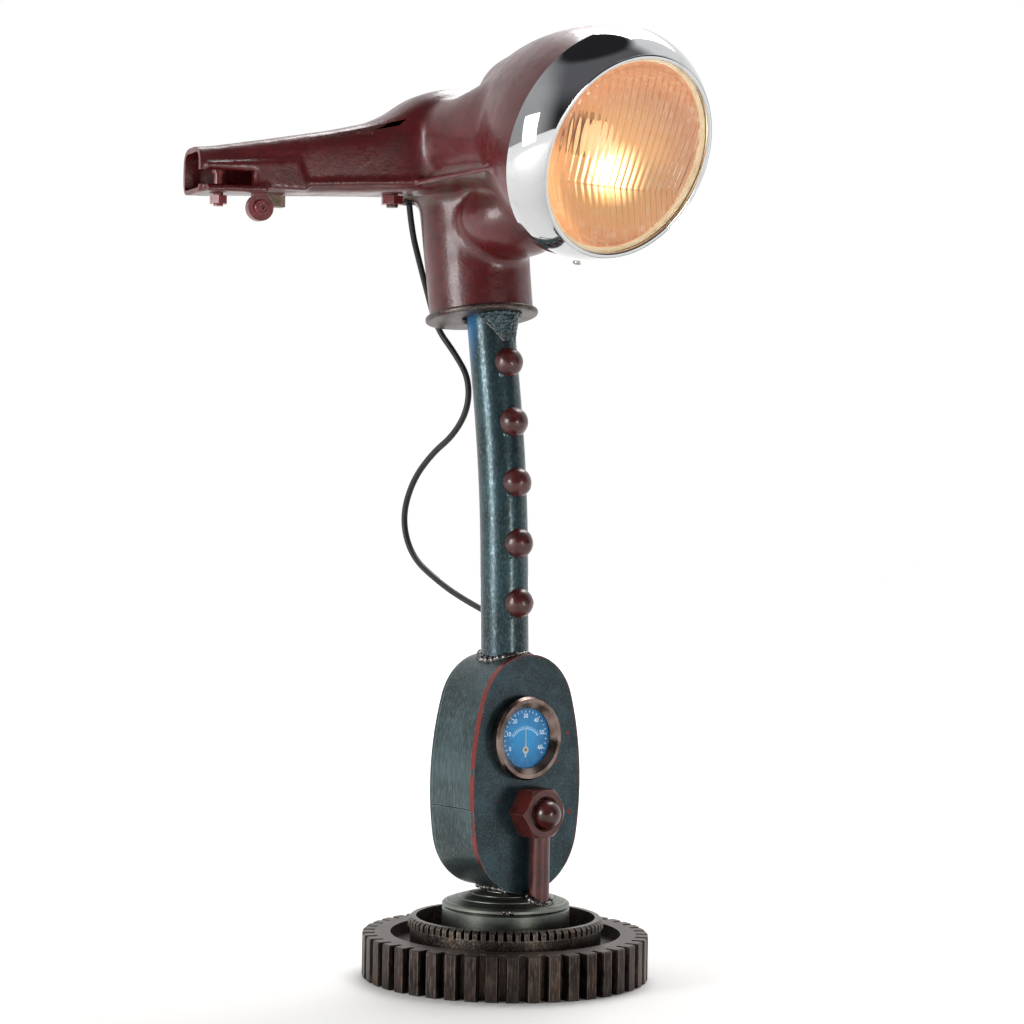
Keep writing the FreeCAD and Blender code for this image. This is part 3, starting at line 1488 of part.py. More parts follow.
lead_route = [
    (-33.7, 77.2, 532.0),
    (-30.5, 78.0, 514.0),
    (-21.0, 81.5, 494.0),
    (-10.5, 84.0, 470.5),
    (-4.0, 81.5, 447.0),
    (0.0, 65.0, 428.5),
    (0.0, 49.5, 411.0),
    (0.0, 49.5, 390.0),
    (0.0, 65.0, 371.5),
    (0.0, 90.0, 358.0),
    (0.0, 112.5, 338.0),
    (0.0, 123.5, 311.0),
    (0.0, 112.0, 284.5),
    (0.0, 82.0, 268.0),
    (0.0, 52.0, 256.0),
    (0.0, 24.6, 248.0),
]


# Share of the shorter of two legs that the bend between them takes up
bend_share = 0.45


def make_head_lead():
    points = [Vector(*point) for point in lead_route]
    edges = []
    radii = []
    here = points[0]
    for before, point, after in zip(points, points[1:], points[2:]):
        arriving = point.sub(before)
        leaving = after.sub(point)
        shorter = min(arriving.Length, leaving.Length)
        half_turn = arriving.getAngle(leaving) / 2
        reach = shorter * bend_share
        radius = reach / math.tan(half_turn)
        radii.append(radius)
        start = point.sub(Vector(arriving).normalize() * reach)
        end = point.add(Vector(leaving).normalize() * reach)
        inward = start.add(end).multiply(0.5).sub(point).normalize()
        middle = point.add(inward * (radius / math.cos(half_turn) - radius))
        edges.append(Part.LineSegment(here, start).toShape())
        edges.append(Part.Arc(start, middle, end).toShape())
        here = end
    edges.append(Part.LineSegment(here, points[-1]).toShape())
    wire = Part.Wire(edges)
    first = Vector(points[1]).sub(points[0]).normalize()
    radius = number(d.lead_diameter) / 2
    ring = Part.Wire(Part.Circle(points[0], first, radius).toShape())
    tube = wire.makePipeShell([ring], True, False)
    length = sum(edge.Length for edge in edges)
    print(f"head_lead length {length:.1f}, volume {tube.Volume:.0f} of {math.pi * radius ** 2 * length:.0f}")
    print("head_lead radii", " ".join(f"{value:.0f}" for value in radii))
    solids("head_lead", [tube])


make_gear_base()
make_base_plug()
make_dog_tooth_ring()
make_collar()
make_end_cap()
make_base_welds()
make_front_plate()
make_bands()
make_back_cover()
make_mains_gland()
make_terminal_block()
make_gauge()
make_button()
make_stay_rod()
make_stem_tube()
make_stem_gusset()
make_stem_domes()
make_stem_welds()
make_stem_grommet()
make_head_disc()
make_headset_casting()
make_pod_cover()
make_set_screw()
make_arm_bolt()
make_head_grommet()
make_headlamp()
make_lever_fittings()
make_head_lead()
doc.recompute()

failed = [thing.Name for thing in doc.Objects if "Invalid" in thing.State or "Error" in thing.State]
pieces = [thing for thing in doc.RootObjects if thing.isDerivedFrom("Part::Feature")]
unsound = [piece.Label for piece in pieces if piece.Shape.isNull() or not piece.Shape.isValid()]
empty = [piece.Label for piece in pieces if piece.Label not in unsound and not piece.Shape.Solids]
if failed or unsound or empty:
    raise RuntimeError(f"failed {failed}, not valid {unsound}, no solid {empty}")

os.makedirs("parts", exist_ok=True)
for piece in pieces:
    piece.Shape.exportStep(f"parts/{piece.Label}.step")
print(len(pieces), "pieces written")
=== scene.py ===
import bmesh
import bpy
import math
from mathutils import Matrix, Vector, noise
from mathutils.bvhtree import BVHTree


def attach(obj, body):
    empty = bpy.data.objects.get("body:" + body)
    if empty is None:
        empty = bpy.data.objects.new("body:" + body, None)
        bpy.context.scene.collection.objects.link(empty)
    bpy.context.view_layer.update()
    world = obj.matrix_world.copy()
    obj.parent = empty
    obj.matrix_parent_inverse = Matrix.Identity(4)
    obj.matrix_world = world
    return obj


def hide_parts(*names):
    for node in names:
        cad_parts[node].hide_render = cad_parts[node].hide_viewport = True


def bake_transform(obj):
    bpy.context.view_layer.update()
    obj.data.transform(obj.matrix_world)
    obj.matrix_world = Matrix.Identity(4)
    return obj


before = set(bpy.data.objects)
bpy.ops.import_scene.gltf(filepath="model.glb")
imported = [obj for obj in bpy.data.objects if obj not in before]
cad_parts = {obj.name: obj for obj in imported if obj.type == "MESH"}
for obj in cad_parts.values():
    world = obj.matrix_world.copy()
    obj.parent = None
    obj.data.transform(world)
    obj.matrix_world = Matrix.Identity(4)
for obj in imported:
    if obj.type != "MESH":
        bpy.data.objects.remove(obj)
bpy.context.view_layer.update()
print("frame loaded,", len(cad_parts), "nodes")


# places on the lamp that several pieces share, in metres
places = {
    "neckFoot": Vector((0, 0.03654, 0.45599)),
    "neckLean": 8.9,
    "lampBack": Vector((0, -0.08896, 0.56209)),
    "lampPitch": 23.2,
    "armSweep": 15,
    "armRoot": Vector((0, 0.04804, 0)),
    "dial": Vector((-0.0045, -0.0230, 0.1651)),
    "plateFace": -0.021,
}
neckUp = Vector((0, math.sin(math.radians(places["neckLean"])), math.cos(math.radians(places["neckLean"]))))
lampOut = Vector((0, -math.cos(math.radians(places["lampPitch"])), -math.sin(math.radians(places["lampPitch"]))))
lampUp = Vector((0, lampOut.z, -lampOut.y))


# camera, as far off and as turned as the photograph's

camera = bpy.data.objects.new("camera", bpy.data.cameras.new("camera"))
bpy.context.scene.collection.objects.link(camera)
look = Vector((0.642788, 0.766044, 0))
roll = math.radians(0.92)
level = Vector((look.y, -look.x, 0))
right = level * math.cos(roll) + Vector((0, 0, 1)) * math.sin(roll)
above = right.cross(look)
camera.matrix_world = Matrix.Translation(look * -1.785 + Vector((0, 0, 0.336))) @ Matrix(
    (right, above, -look)).transposed().to_4x4()
camera.data.lens = 91.4
camera.data.sensor_width = 36
camera.data.shift_x = -0.0004
camera.data.shift_y = -0.0254
bpy.context.scene.camera = camera
bpy.context.scene.view_settings.view_transform = "Standard"


# small helpers

def hexColour(code):
    channels = [int(code[i:i + 2], 16) / 255 for i in (0, 2, 4)]
    return [c / 12.92 if c <= 0.04045 else ((c + 0.055) / 1.055) ** 2.4 for c in channels] + [1]


def addNode(tree, kind, inputs=None, **settings):
    made = tree.nodes.new(kind)
    for name, value in settings.items():
        setattr(made, name, value)
    for key, value in (inputs or {}).items():
        if isinstance(value, bpy.types.NodeSocket):
            tree.links.new(value, made.inputs[key])
        else:
            made.inputs[key].default_value = value
    return made


def newMaterial(name, **shaderSettings):
    material = bpy.data.materials.new(name)
    material.use_nodes = True
    tree = material.node_tree
    shader = tree.nodes["Principled BSDF"]
    for socket, value in shaderSettings.items():
        shader.inputs[socket.replace("_", " ")].default_value = value
    coords = addNode(tree, "ShaderNodeTexCoord").outputs["Object"]
    return material, tree, shader, coords


def speckle(tree, coords, grain, detail=3, rough=0.55, stretch=(1, 1, 1), turn=(0, 0, 0)):
    # noise whose blotches are about grain millimetres across
    mapping = addNode(tree, "ShaderNodeMapping", {"Vector": coords, "Scale": stretch, "Rotation": turn})
    return addNode(tree, "ShaderNodeTexNoise", {
        "Vector": mapping.outputs[0], "Scale": 1000 / grain, "Detail": detail, "Roughness": rough,
    }).outputs["Fac"]


def ramp(tree, value, low, high):
    return addNode(tree, "ShaderNodeMapRange", {
        "Value": value, "From Min": low, "From Max": high,
    }, interpolation_type="SMOOTHSTEP").outputs["Result"]


def blendColours(tree, share, first, second):
    mix = addNode(tree, "ShaderNodeMix", data_type="RGBA")
    for socket, value in ((mix.inputs[0], share), (mix.inputs[6], first), (mix.inputs[7], second)):
        if isinstance(value, bpy.types.NodeSocket):
            tree.links.new(value, socket)
        else:
            socket.default_value = hexColour(value) if isinstance(value, str) else value
    return mix.outputs[2]


def maths(tree, operation, first, second=0.0):
    return addNode(tree, "ShaderNodeMath", {0: first, 1: second}, operation=operation).outputs[0]


def edgeWear(tree, width, low=0.02, high=0.2):
    # near 1 on edges that hands and files have rubbed, width in millimetres
    soft = addNode(tree, "ShaderNodeBevel", {"Radius": width / 1000}, samples=4)
    normal = addNode(tree, "ShaderNodeNewGeometry").outputs["Normal"]
    same = addNode(tree, "ShaderNodeVectorMath", {0: soft.outputs[0], 1: normal}, operation="DOT_PRODUCT")
    return ramp(tree, maths(tree, "SUBTRACT", 1.0, same.outputs["Value"]), low, high)


def axisValue(tree, coords, axis):
    return addNode(tree, "ShaderNodeSeparateXYZ", {0: coords}).outputs[axis]


def bump(tree, shader, height, depth, strength=1.0):
    # depth in millimetres
    made = addNode(tree, "ShaderNodeBump", {"Height": height, "Distance": depth / 1000, "Strength": strength})
    tree.links.new(made.outputs[0], shader.inputs["Normal"])


# finishes

def wornEnamel(name, look):
    # old sprayed enamel on cast metal: gloss coat, pits where it has blistered, brown where it has gone thin
    material, tree, shader, coords = newMaterial(name, Coat_Weight=look["coat"], Coat_Roughness=0.12)
    broad = ramp(tree, speckle(tree, coords, look["patchSize"], 5), 0.38, 0.66)
    colour = blendColours(tree, broad, look["paint"], look["thinPaint"])
    mottle = ramp(tree, speckle(tree, coords, look.get("mottle", 6), 6, 0.65), 0.42, 0.66)
    colour = blendColours(tree, maths(tree, "MULTIPLY", mottle, 0.55), colour, look["deep"])
    scuffs = ramp(tree, speckle(tree, coords, 5, 6, 0.7, (1, 1, 2.5)), 0.6, 0.78)
    colour = blendColours(tree, maths(tree, "MULTIPLY", scuffs, 0.35), colour, look["scuff"])
    pits = ramp(tree, speckle(tree, coords, look["pitSize"], 2, 0.5), 0.68, 0.74)
    zone = ramp(tree, speckle(tree, coords, 34, 2), look["pitZone"], look["pitZone"] + 0.14)
    pits = maths(tree, "MULTIPLY", pits, zone)
    colour = blendColours(tree, maths(tree, "MULTIPLY", pits, 0.8), colour, look["pit"])
    worn = maths(tree, "MULTIPLY", edgeWear(tree, look["edge"]), ramp(tree, speckle(tree, coords, 6, 4), 0.35, 0.6))
    colour = blendColours(tree, maths(tree, "MULTIPLY", worn, 0.75), colour, look["rubbed"])
    if "grime" in look:
        # greenish brown dirt that has gathered under the lip and at the neck's top
        height = axisValue(tree, coords, "Z")
        under = maths(tree, "MULTIPLY", ramp(tree, height, 0.520, 0.541), ramp(tree, height, 0.556, 0.545))
        under = maths(tree, "MULTIPLY", under, ramp(tree, speckle(tree, coords, 9, 5), 0.4, 0.62))
        aside = maths(tree, "ABSOLUTE", axisValue(tree, coords, "X"))
        under = maths(tree, "MULTIPLY", under, ramp(tree, aside, 0.066, 0.046))
        colour = blendColours(tree, maths(tree, "MULTIPLY", under, 0.7), colour, look["grime"])
    tree.links.new(colour, shader.inputs["Base Color"])
    gloss = addNode(tree, "ShaderNodeMapRange", {
        "Value": speckle(tree, coords, 18, 4), "From Min": 0.3, "From Max": 0.7,
        "To Min": look["gloss"], "To Max": look["gloss"] + 0.22,
    }).outputs["Result"]
    tree.links.new(maths(tree, "ADD", gloss, maths(tree, "MULTIPLY", pits, 0.3)), shader.inputs["Roughness"])
    orange = maths(tree, "MULTIPLY", speckle(tree, coords, look.get("peel", 2.2), 4, 0.6), 0.45)
    relief = maths(tree, "ADD", maths(tree, "MULTIPLY", speckle(tree, coords, 9, 3), 0.9), orange)
    relief = maths(tree, "SUBTRACT", relief, pits)
    bump(tree, shader, relief, look["relief"], 0.8)
    return material


def patinaSteel(name, look):
    # mild steel darkened with a blue-green patina and lacquered: cloudy, grainy, bright where it was brushed
    material, tree, shader, coords = newMaterial(name, Coat_Weight=0.35, Coat_Roughness=0.18)
    clouds = ramp(tree, speckle(tree, coords, look["cloud"], 6, 0.6, look["stretch"]), 0.36, 0.68)
    colour = blendColours(tree, clouds, look["dark"], look["pale"])
    grains = ramp(tree, speckle(tree, coords, look["grain"], 4, 0.7, look["grainStretch"]), 0.44, 0.72)
    colour = blendColours(tree, maths(tree, "MULTIPLY", grains, look["grainShare"]), colour, look["bright"])
    green = ramp(tree, speckle(tree, coords, 13, 4), 0.5, 0.72)
    colour = blendColours(tree, maths(tree, "MULTIPLY", green, 0.45), colour, look["tint"])
    worn = maths(tree, "MULTIPLY", edgeWear(tree, 1.2), ramp(tree, speckle(tree, coords, 4, 4), 0.3, 0.55))
    colour = blendColours(tree, maths(tree, "MULTIPLY", worn, look.get("edgeShare", 0.6)), colour, look["edge"])
    if "paintedEdge" in look:
        # red paint left on the plate's cut edge, and a few chips of it on the face
        normal = addNode(tree, "ShaderNodeNewGeometry").outputs["Normal"]
        flat = maths(tree, "ABSOLUTE", axisValue(tree, normal, "Y"))
        rim = maths(tree, "MAXIMUM", ramp(tree, flat, 0.8, 0.4), maths(tree, "MULTIPLY", edgeWear(tree, 3.2, 0.01, 0.1), 0.75))
        height = axisValue(tree, coords, "Z")
        rim = maths(tree, "MULTIPLY", rim, ramp(tree, height, 0.066, 0.095))
        rim = maths(tree, "MULTIPLY", rim, ramp(tree, speckle(tree, coords, 11, 4), 0.3, 0.46))
        chips = ramp(tree, speckle(tree, coords, 9, 2, 0.4), 0.735, 0.76)
        red = blendColours(tree, speckle(tree, coords, 5, 4), look["paintedEdge"], look["paintedEdgeDark"])
        colour = blendColours(tree, maths(tree, "MAXIMUM", rim, maths(tree, "MULTIPLY", chips, 0.9)), colour, red)
    if "heatTintAndHighlight" in look:
        # blue heat tint below the head's weld, with painted highlight: it is brightest on the stem's left edge as seen
        # from the camera, where the key light falls
        height = axisValue(tree, coords, "Z")
        side = maths(tree, "SUBTRACT", maths(tree, "MULTIPLY", axisValue(tree, coords, "X"), 0.77),
                     maths(tree, "MULTIPLY", axisValue(tree, coords, "Y"), 0.64))
        tintAndHighlight = maths(tree, "MULTIPLY", ramp(tree, height, 0.405, 0.447), ramp(tree, side, -0.024, -0.032))
        colour = blendColours(tree, maths(tree, "MULTIPLY", tintAndHighlight, 0.9), colour, look["heatTintAndHighlight"])
    tree.links.new(colour, shader.inputs["Base Color"])
    shader.inputs["Metallic"].default_value = look["metal"]
    gloss = addNode(tree, "ShaderNodeMapRange", {
        "Value": grains, "To Min": look["gloss"] + 0.16, "To Max": look["gloss"],
    }).outputs["Result"]
    tree.links.new(gloss, shader.inputs["Roughness"])
    bump(tree, shader, speckle(tree, coords, look["grain"] * 1.3, 4, 0.6, look["grainStretch"]), look["relief"], 0.5)
    return material


def bareMetal(name, look):
    # turned, sawn or cast steel left bare and gone dull: grain, stains, bright edges
    material, tree, shader, coords = newMaterial(name, Metallic=look.get("metal", 1.0))
    stains = ramp(tree, speckle(tree, coords, look["stainSize"], 6, 0.6, look.get("stretch", (1, 1, 1))), 0.36, 0.68)
    colour = blendColours(tree, stains, look["base"], look["stain"])
    if "rust" in look:
        rust = ramp(tree, speckle(tree, coords, look.get("rustSize", 14), 6, 0.65, look.get("rustStretch", (1, 1, 0.35))),
                    0.54, 0.7)
        colour = blendColours(tree, maths(tree, "MULTIPLY", rust, look.get("rustShare", 0.75)), colour, look["rust"])
    grain = speckle(tree, coords, look["grain"], 4, 0.65, look.get("grainStretch", (1, 1, 1)))
    colour = blendColours(tree, maths(tree, "MULTIPLY", ramp(tree, grain, 0.45, 0.75), 0.4), colour, look["bright"])
    worn = maths(tree, "MULTIPLY", edgeWear(tree, look.get("edgeWidth", 1.0)),
                 ramp(tree, speckle(tree, coords, 5, 4), 0.25, 0.55))
    colour = blendColours(tree, maths(tree, "MULTIPLY", worn, look.get("edgeShare", 0.8)), colour, look["bright"])
    tree.links.new(colour, shader.inputs["Base Color"])
    gloss = addNode(tree, "ShaderNodeMapRange", {
        "Value": grain, "From Min": 0.3, "From Max": 0.7, "To Min": look["gloss"], "To Max": look["gloss"] + 0.2,
    }).outputs["Result"]
    tree.links.new(gloss, shader.inputs["Roughness"])
    bump(tree, shader, grain, look.get("relief", 0.12), 0.5)
    return material


def turnedRings(name, look):
    # a lathe-turned face: fine concentric lines about the upright axis, with a brown heat tint
    material, tree, shader, coords = newMaterial(name, Metallic=1.0)
    flat = addNode(tree, "ShaderNodeVectorMath", {0: coords, 1: (1, 1, 0)}, operation="MULTIPLY").outputs[0]
    reach = addNode(tree, "ShaderNodeVectorMath", {0: flat}, operation="LENGTH").outputs["Value"]
    lines = maths(tree, "SINE", maths(tree, "MULTIPLY", reach, 2 * math.pi * 1000 / look["lineSpacing"]))
    lines = maths(tree, "ADD", maths(tree, "MULTIPLY", lines, 0.5), 0.5)
    stains = ramp(tree, speckle(tree, coords, 16, 5), 0.35, 0.68)
    colour = blendColours(tree, stains, look["base"], look["stain"])
    bands = ramp(tree, addNode(tree, "ShaderNodeTexNoise", {
        "Vector": addNode(tree, "ShaderNodeCombineXYZ", {0: reach}).outputs[0], "Scale": 420, "Detail": 2,
    }).outputs["Fac"], 0.4, 0.65)
    colour = blendColours(tree, maths(tree, "MULTIPLY", bands, 0.6), colour, look["bright"])
    colour = blendColours(tree, maths(tree, "MULTIPLY", edgeWear(tree, 0.9), 0.5), colour, look["bright"])
    tree.links.new(colour, shader.inputs["Base Color"])
    shader.inputs["Roughness"].default_value = look["gloss"]
    bump(tree, shader, lines, 0.05, 0.5)
    return material


def heatTinted(name, look):
    # bare steel tube run through straw, purple and blue by the welder's heat, in bands round it
    material, tree, shader, coords = newMaterial(name, Metallic=1.0)
    sides = addNode(tree, "ShaderNodeSeparateXYZ", {0: coords})
    turn = maths(tree, "ARCTAN2", sides.outputs["Y"], sides.outputs["X"])
    wander = maths(tree, "ADD", maths(tree, "MULTIPLY", speckle(tree, coords, 22, 4), 2.4), maths(tree, "MULTIPLY", turn, 1.3))
    first = maths(tree, "ADD", maths(tree, "MULTIPLY", maths(tree, "SINE", wander), 0.5), 0.5)
    colour = blendColours(tree, first, look["straw"], look["purple"])
    second = ramp(tree, speckle(tree, coords, 15, 3), 0.5, 0.7)
    colour = blendColours(tree, maths(tree, "MULTIPLY", second, 0.6), colour, look["blue"])
    brushed = speckle(tree, coords, 2.2, 3, 0.6, (1, 1, 12))
    colour = blendColours(tree, maths(tree, "MULTIPLY", ramp(tree, brushed, 0.45, 0.7), 0.35), colour, look["bright"])
    tree.links.new(colour, shader.inputs["Base Color"])
    shader.inputs["Roughness"].default_value = look["gloss"]
    bump(tree, shader, brushed, 0.06, 0.4)
    return material


def plainFinish(name, look):
    # moulded, plated or drawn small parts: one colour that drifts a little, with fine grain, and for some a painted
    # glow
    material, tree, shader, coords = newMaterial(name, Metallic=look.get("metal", 0.0))
    drift = speckle(tree, coords, look.get("driftSize", 8), 4)
    colour = blendColours(tree, ramp(tree, drift, 0.35, 0.7), look["colour"], look["shade"])
    tree.links.new(colour, shader.inputs["Base Color"])
    grain = speckle(tree, coords, look.get("grain", 1.2), 3)
    gloss = addNode(tree, "ShaderNodeMapRange", {
        "Value": grain, "From Min": 0.3, "From Max": 0.7, "To Min": look["gloss"], "To Max": look["gloss"] + 0.12,
    }).outputs["Result"]
    tree.links.new(gloss, shader.inputs["Roughness"])
    bump(tree, shader, grain, look.get("relief", 0.03), 0.4)
    # painted glow: the part gives off light of its own colour, though it is no lamp
    if "glow" in look:
        tree.links.new(colour, shader.inputs["Emission Color"])
        shader.inputs["Emission Strength"].default_value = look["glow"]
    return material


casting = {
    "paint": "4a070a", "thinPaint": "581216", "deep": "2c0406", "scuff": "642823", "pit": "140505",
    "rubbed": "7c2f26",
    "grime": "3e3a28", "patchSize": 48, "pitSize": 1.7, "pitZone": 0.46, "edge": 1.5, "gloss": 0.27, "coat": 0.22,
    "relief": 0.45,
}
smallRed = {
    "paint": "4a1410", "thinPaint": "5c241c", "deep": "260806", "scuff": "7c4034", "pit": "180907",
    "rubbed": "a06a58",
    "patchSize": 14, "pitSize": 1.2, "pitZone": 0.42, "edge": 1.1, "gloss": 0.3, "coat": 0.3, "relief": 0.15,
}
domeRed = dict(smallRed, paint="3a0c0b", thinPaint="4c1612", rubbed="7a3a2e", patchSize=9, gloss=0.22)
lugRed = dict(smallRed, paint="67141a", thinPaint="77242a", rubbed="a04a44", patchSize=11)
stemSteel = {
    "dark": "16262a", "pale": "2d454b", "bright": "7d959a", "tint": "1f3a3c", "edge": "93a8aa", "heatTintAndHighlight": "1c6c9e",
    "cloud": 26, "stretch": (1, 1, 0.45), "grain": 1.6, "grainStretch": (1, 1, 0.6), "grainShare": 0.35,
    "metal": 0.75, "gloss": 0.26, "relief": 0.16,
}
plateSteel = {
    "dark": "14252b", "pale": "2a434b", "bright": "66828a", "tint": "183236", "edge": "a9bdbd", "edgeShare": 0.6,
    "paintedEdge": "8e2a1c", "paintedEdgeDark": "5c1610",
    "cloud": 22, "stretch": (1, 1, 1), "grain": 1.3, "grainStretch": (1, 1, 1), "grainShare": 0.3,
    "metal": 0.75, "gloss": 0.24, "relief": 0.26,
}
bandSteel = {
    "dark": "1f2d2f", "pale": "3c4f52", "bright": "75898b", "tint": "263b3c", "edge": "8a9a9a",
    "cloud": 34, "stretch": (1, 0.6, 1), "grain": 1.1, "grainStretch": (1, 1, 0.12), "grainShare": 0.4,
    "metal": 0.8, "gloss": 0.34, "relief": 0.1,
}
finishes = {
    "castingEnamel": wornEnamel("castingEnamel", casting),
    "smallRedEnamel": wornEnamel("smallRedEnamel", smallRed),
    "domeRedEnamel": wornEnamel("domeRedEnamel", domeRed),
    "lugRedEnamel": wornEnamel("lugRedEnamel", lugRed),
    "stemPatina": patinaSteel("stemPatina", stemSteel),
    "platePatina": patinaSteel("platePatina", plateSteel),
    "bandPatina": patinaSteel("bandPatina", bandSteel),
    "rustedGear": bareMetal("rustedGear", {
        "base": "3a302c", "stain": "241e1b", "rust": "5a3a22", "bright": "857c74", "stainSize": 22, "grain": 1.4,
        "grainStretch": (1, 1, 0.14), "gloss": 0.32, "metal": 0.85, "edgeWidth": 1.4, "relief": 0.16, "rustShare": 0.6,
    }),
    "ringSteel": bareMetal("ringSteel", {
        "base": "4a423c", "stain": "2c2724", "rust": "6a4a34", "bright": "b9b2a8", "stainSize": 12, "grain": 1.2,
        "gloss": 0.28, "edgeWidth": 0.8,
    }),
    "weldBead": bareMetal("weldBead", {
        "base": "6a6664", "stain": "35312f", "bright": "d8dcdc", "stainSize": 4, "grain": 1.0, "gloss": 0.16,
        "edgeWidth": 0.5, "relief": 0.25,
    }),
    "discSteel": bareMetal("discSteel", {
        "base": "57504c", "stain": "3a2b28", "rust": "5a2622", "rustSize": 20, "rustStretch": (1, 1, 1),
        "bright": "8f8c88", "stainSize": 16, "grain": 1.6, "gloss": 0.34, "metal": 0.8, "edgeShare": 0.4,
    }),
    "turnedCap": turnedRings("turnedCap", {
        "base": "5e645c", "stain": "4c4542", "bright": "9aa096", "lineSpacing": 1.1, "gloss": 0.42,
    }),
    "turnedPlug": turnedRings("turnedPlug", {
        "base": "4c4642", "stain": "35302d", "bright": "8a857e", "lineSpacing": 1.4, "gloss": 0.4,
    }),
    "tintedCollar": heatTinted("tintedCollar", {
        "straw": "6a7068", "purple": "64505a", "blue": "46565a", "bright": "a6a8a6", "gloss": 0.36,
    }),
    "zincPlate": plainFinish("zincPlate", {"colour": "b4b4ae", "shade": "8c8c86", "metal": 1.0, "gloss": 0.3}),
    "oldBolt": plainFinish("oldBolt", {"colour": "6c5f56", "shade": "4a3a34", "metal": 0.9, "gloss": 0.36}),
    "brassTurned": plainFinish("brassTurned", {"colour": "b48a48", "shade": "8f6a34", "metal": 1.0, "gloss": 0.28}),
    "springSteel": plainFinish("springSteel", {"colour": "8c8a86", "shade": "6a6864", "metal": 1.0, "gloss": 0.25}),
    "blackNylon": plainFinish("blackNylon", {"colour": "141414", "shade": "1e1e1e", "gloss": 0.42}),
    "blackRubber": plainFinish("blackRubber", {"colour": "101010", "shade": "1a1a19", "gloss": 0.5}),
    # painted glow: the cream lens gasket gives off light of its own
    "creamGasket": plainFinish("creamGasket", {"colour": "efe0c0", "shade": "dcc8a4", "gloss": 0.4, "glow": 0.5}),
    "blockNylon": plainFinish("blockNylon", {"colour": "d6d2c4", "shade": "c4bfae", "gloss": 0.45}),
    "bezelPlate": plainFinish("bezelPlate", {
        "colour": "8f7f78", "shade": "5c4a42", "metal": 1.0, "gloss": 0.16, "driftSize": 14, "grain": 2,
    }),
    "needleWhite": plainFinish("needleWhite", {"colour": "f2f2ec", "shade": "dcdcd4", "gloss": 0.4}),
    # painted glow: the dial's white print gives off light of its own
    "printWhite": plainFinish("printWhite", {"colour": "f4fbfc", "shade": "d4ecf4", "gloss": 0.5, "driftSize": 2, "glow": 0.35}),
}


def dialBlue():
    # a printed tin dial, deeper towards its edge, with a painted glow of its own
    material, tree, shader, coords = newMaterial("dialBlue")
    centred = addNode(tree, "ShaderNodeVectorMath", {0: coords, 1: tuple(places["dial"])}, operation="SUBTRACT").outputs[0]
    reach = addNode(tree, "ShaderNodeVectorMath", {0: centred}, operation="LENGTH").outputs["Value"]
    colour = blendColours(tree, ramp(tree, reach, 0.004, 0.024), "1d8ecb", "0a5f9c")
    colour = blendColours(tree, maths(tree, "MULTIPLY", ramp(tree, speckle(tree, coords, 3, 4), 0.45, 0.7), 0.3),
                          colour, "3aa8dc")
    tree.links.new(colour, shader.inputs["Base Color"])
    # painted glow: the dial gives off a little light of its own colour
    tree.links.new(colour, shader.inputs["Emission Color"])
    shader.inputs["Emission Strength"].default_value = 0.25
    shader.inputs["Roughness"].default_value = 0.45
    return material


def clearGlass(name, tint, rough, ior=1.5):
    material, tree, shader, coords = newMaterial(
        name, Transmission_Weight=1.0, IOR=ior, Roughness=rough, Base_Color=hexColour(tint))
    bump(tree, shader, speckle(tree, coords, 9, 2), 0.05, 0.2)
    return material


def chromePlate():
    # plated and polished steel, with the slight waviness of an old pressing
    material, tree, shader, coords = newMaterial("chromePlate", Metallic=1.0, Roughness=0.045,
                                                 Base_Color=hexColour("dcdcdc"))
    haze = ramp(tree, speckle(tree, coords, 12, 5), 0.5, 0.75)
    tree.links.new(blendColours(tree, haze, "cacbcc", "c0c2c4"), shader.inputs["Base Color"])
    bump(tree, shader, speckle(tree, coords, 30, 2), 0.25, 0.25)
    return material


def litReflector():
    # silvered bowl painted with a glow of its own, the amber light of the lit bulb, paler near the bulb
    material, tree, shader, coords = newMaterial("litReflector", Metallic=1.0, Roughness=0.3,
                                                 Base_Color=hexColour("9c7a5c"))
    glow = places["lampBack"] + Vector((0.026, 0.0253, -0.0138))
    centred = addNode(tree, "ShaderNodeVectorMath", {0: coords, 1: tuple(glow)}, operation="SUBTRACT").outputs[0]
    reach = addNode(tree, "ShaderNodeVectorMath", {0: centred}, operation="LENGTH").outputs["Value"]
    colour = blendColours(tree, ramp(tree, reach, 0.006, 0.022), "fff6c0", "f2b25c")
    colour = blendColours(tree, ramp(tree, reach, 0.022, 0.058), colour, "cf8a55")
    # painted reflection: pale upright streaks, as the bulb shows many times over in the bowl
    paintedBulbStreaks = ramp(tree, speckle(tree, coords, 3.5, 3, 0.6, (1, 1, 0.08)), 0.48, 0.66)
    colour = blendColours(tree, maths(tree, "MULTIPLY", paintedBulbStreaks, 0.55), colour, "f6e2c4")
    tree.links.new(colour, shader.inputs["Emission Color"])
    shine = addNode(tree, "ShaderNodeMapRange", {
        "Value": reach, "From Min": 0.004, "From Max": 0.024, "To Min": 3.6, "To Max": 0.6,
    }).outputs["Result"]
    tree.links.new(shine, shader.inputs["Emission Strength"])
    return material


def litBulb():
    material, tree, shader, coords = newMaterial("litBulb", Base_Color=hexColour("fff2d0"), Roughness=0.3)
    shader.inputs["Emission Color"].default_value = hexColour("ffdf9a")
    shader.inputs["Emission Strength"].default_value = 0.5
    return material


finishes["dialBlue"] = dialBlue()
finishes["gaugeGlass"] = clearGlass("gaugeGlass", "f4fbfc", 0.0, 1.2)
finishes["lampGlass"] = clearGlass("lampGlass", "fff6ec", 0.05)
finishes["chromePlate"] = chromePlate()
finishes["litReflector"] = litReflector()
finishes["litBulb"] = litBulb()
print("finishes mixed,", len(finishes))

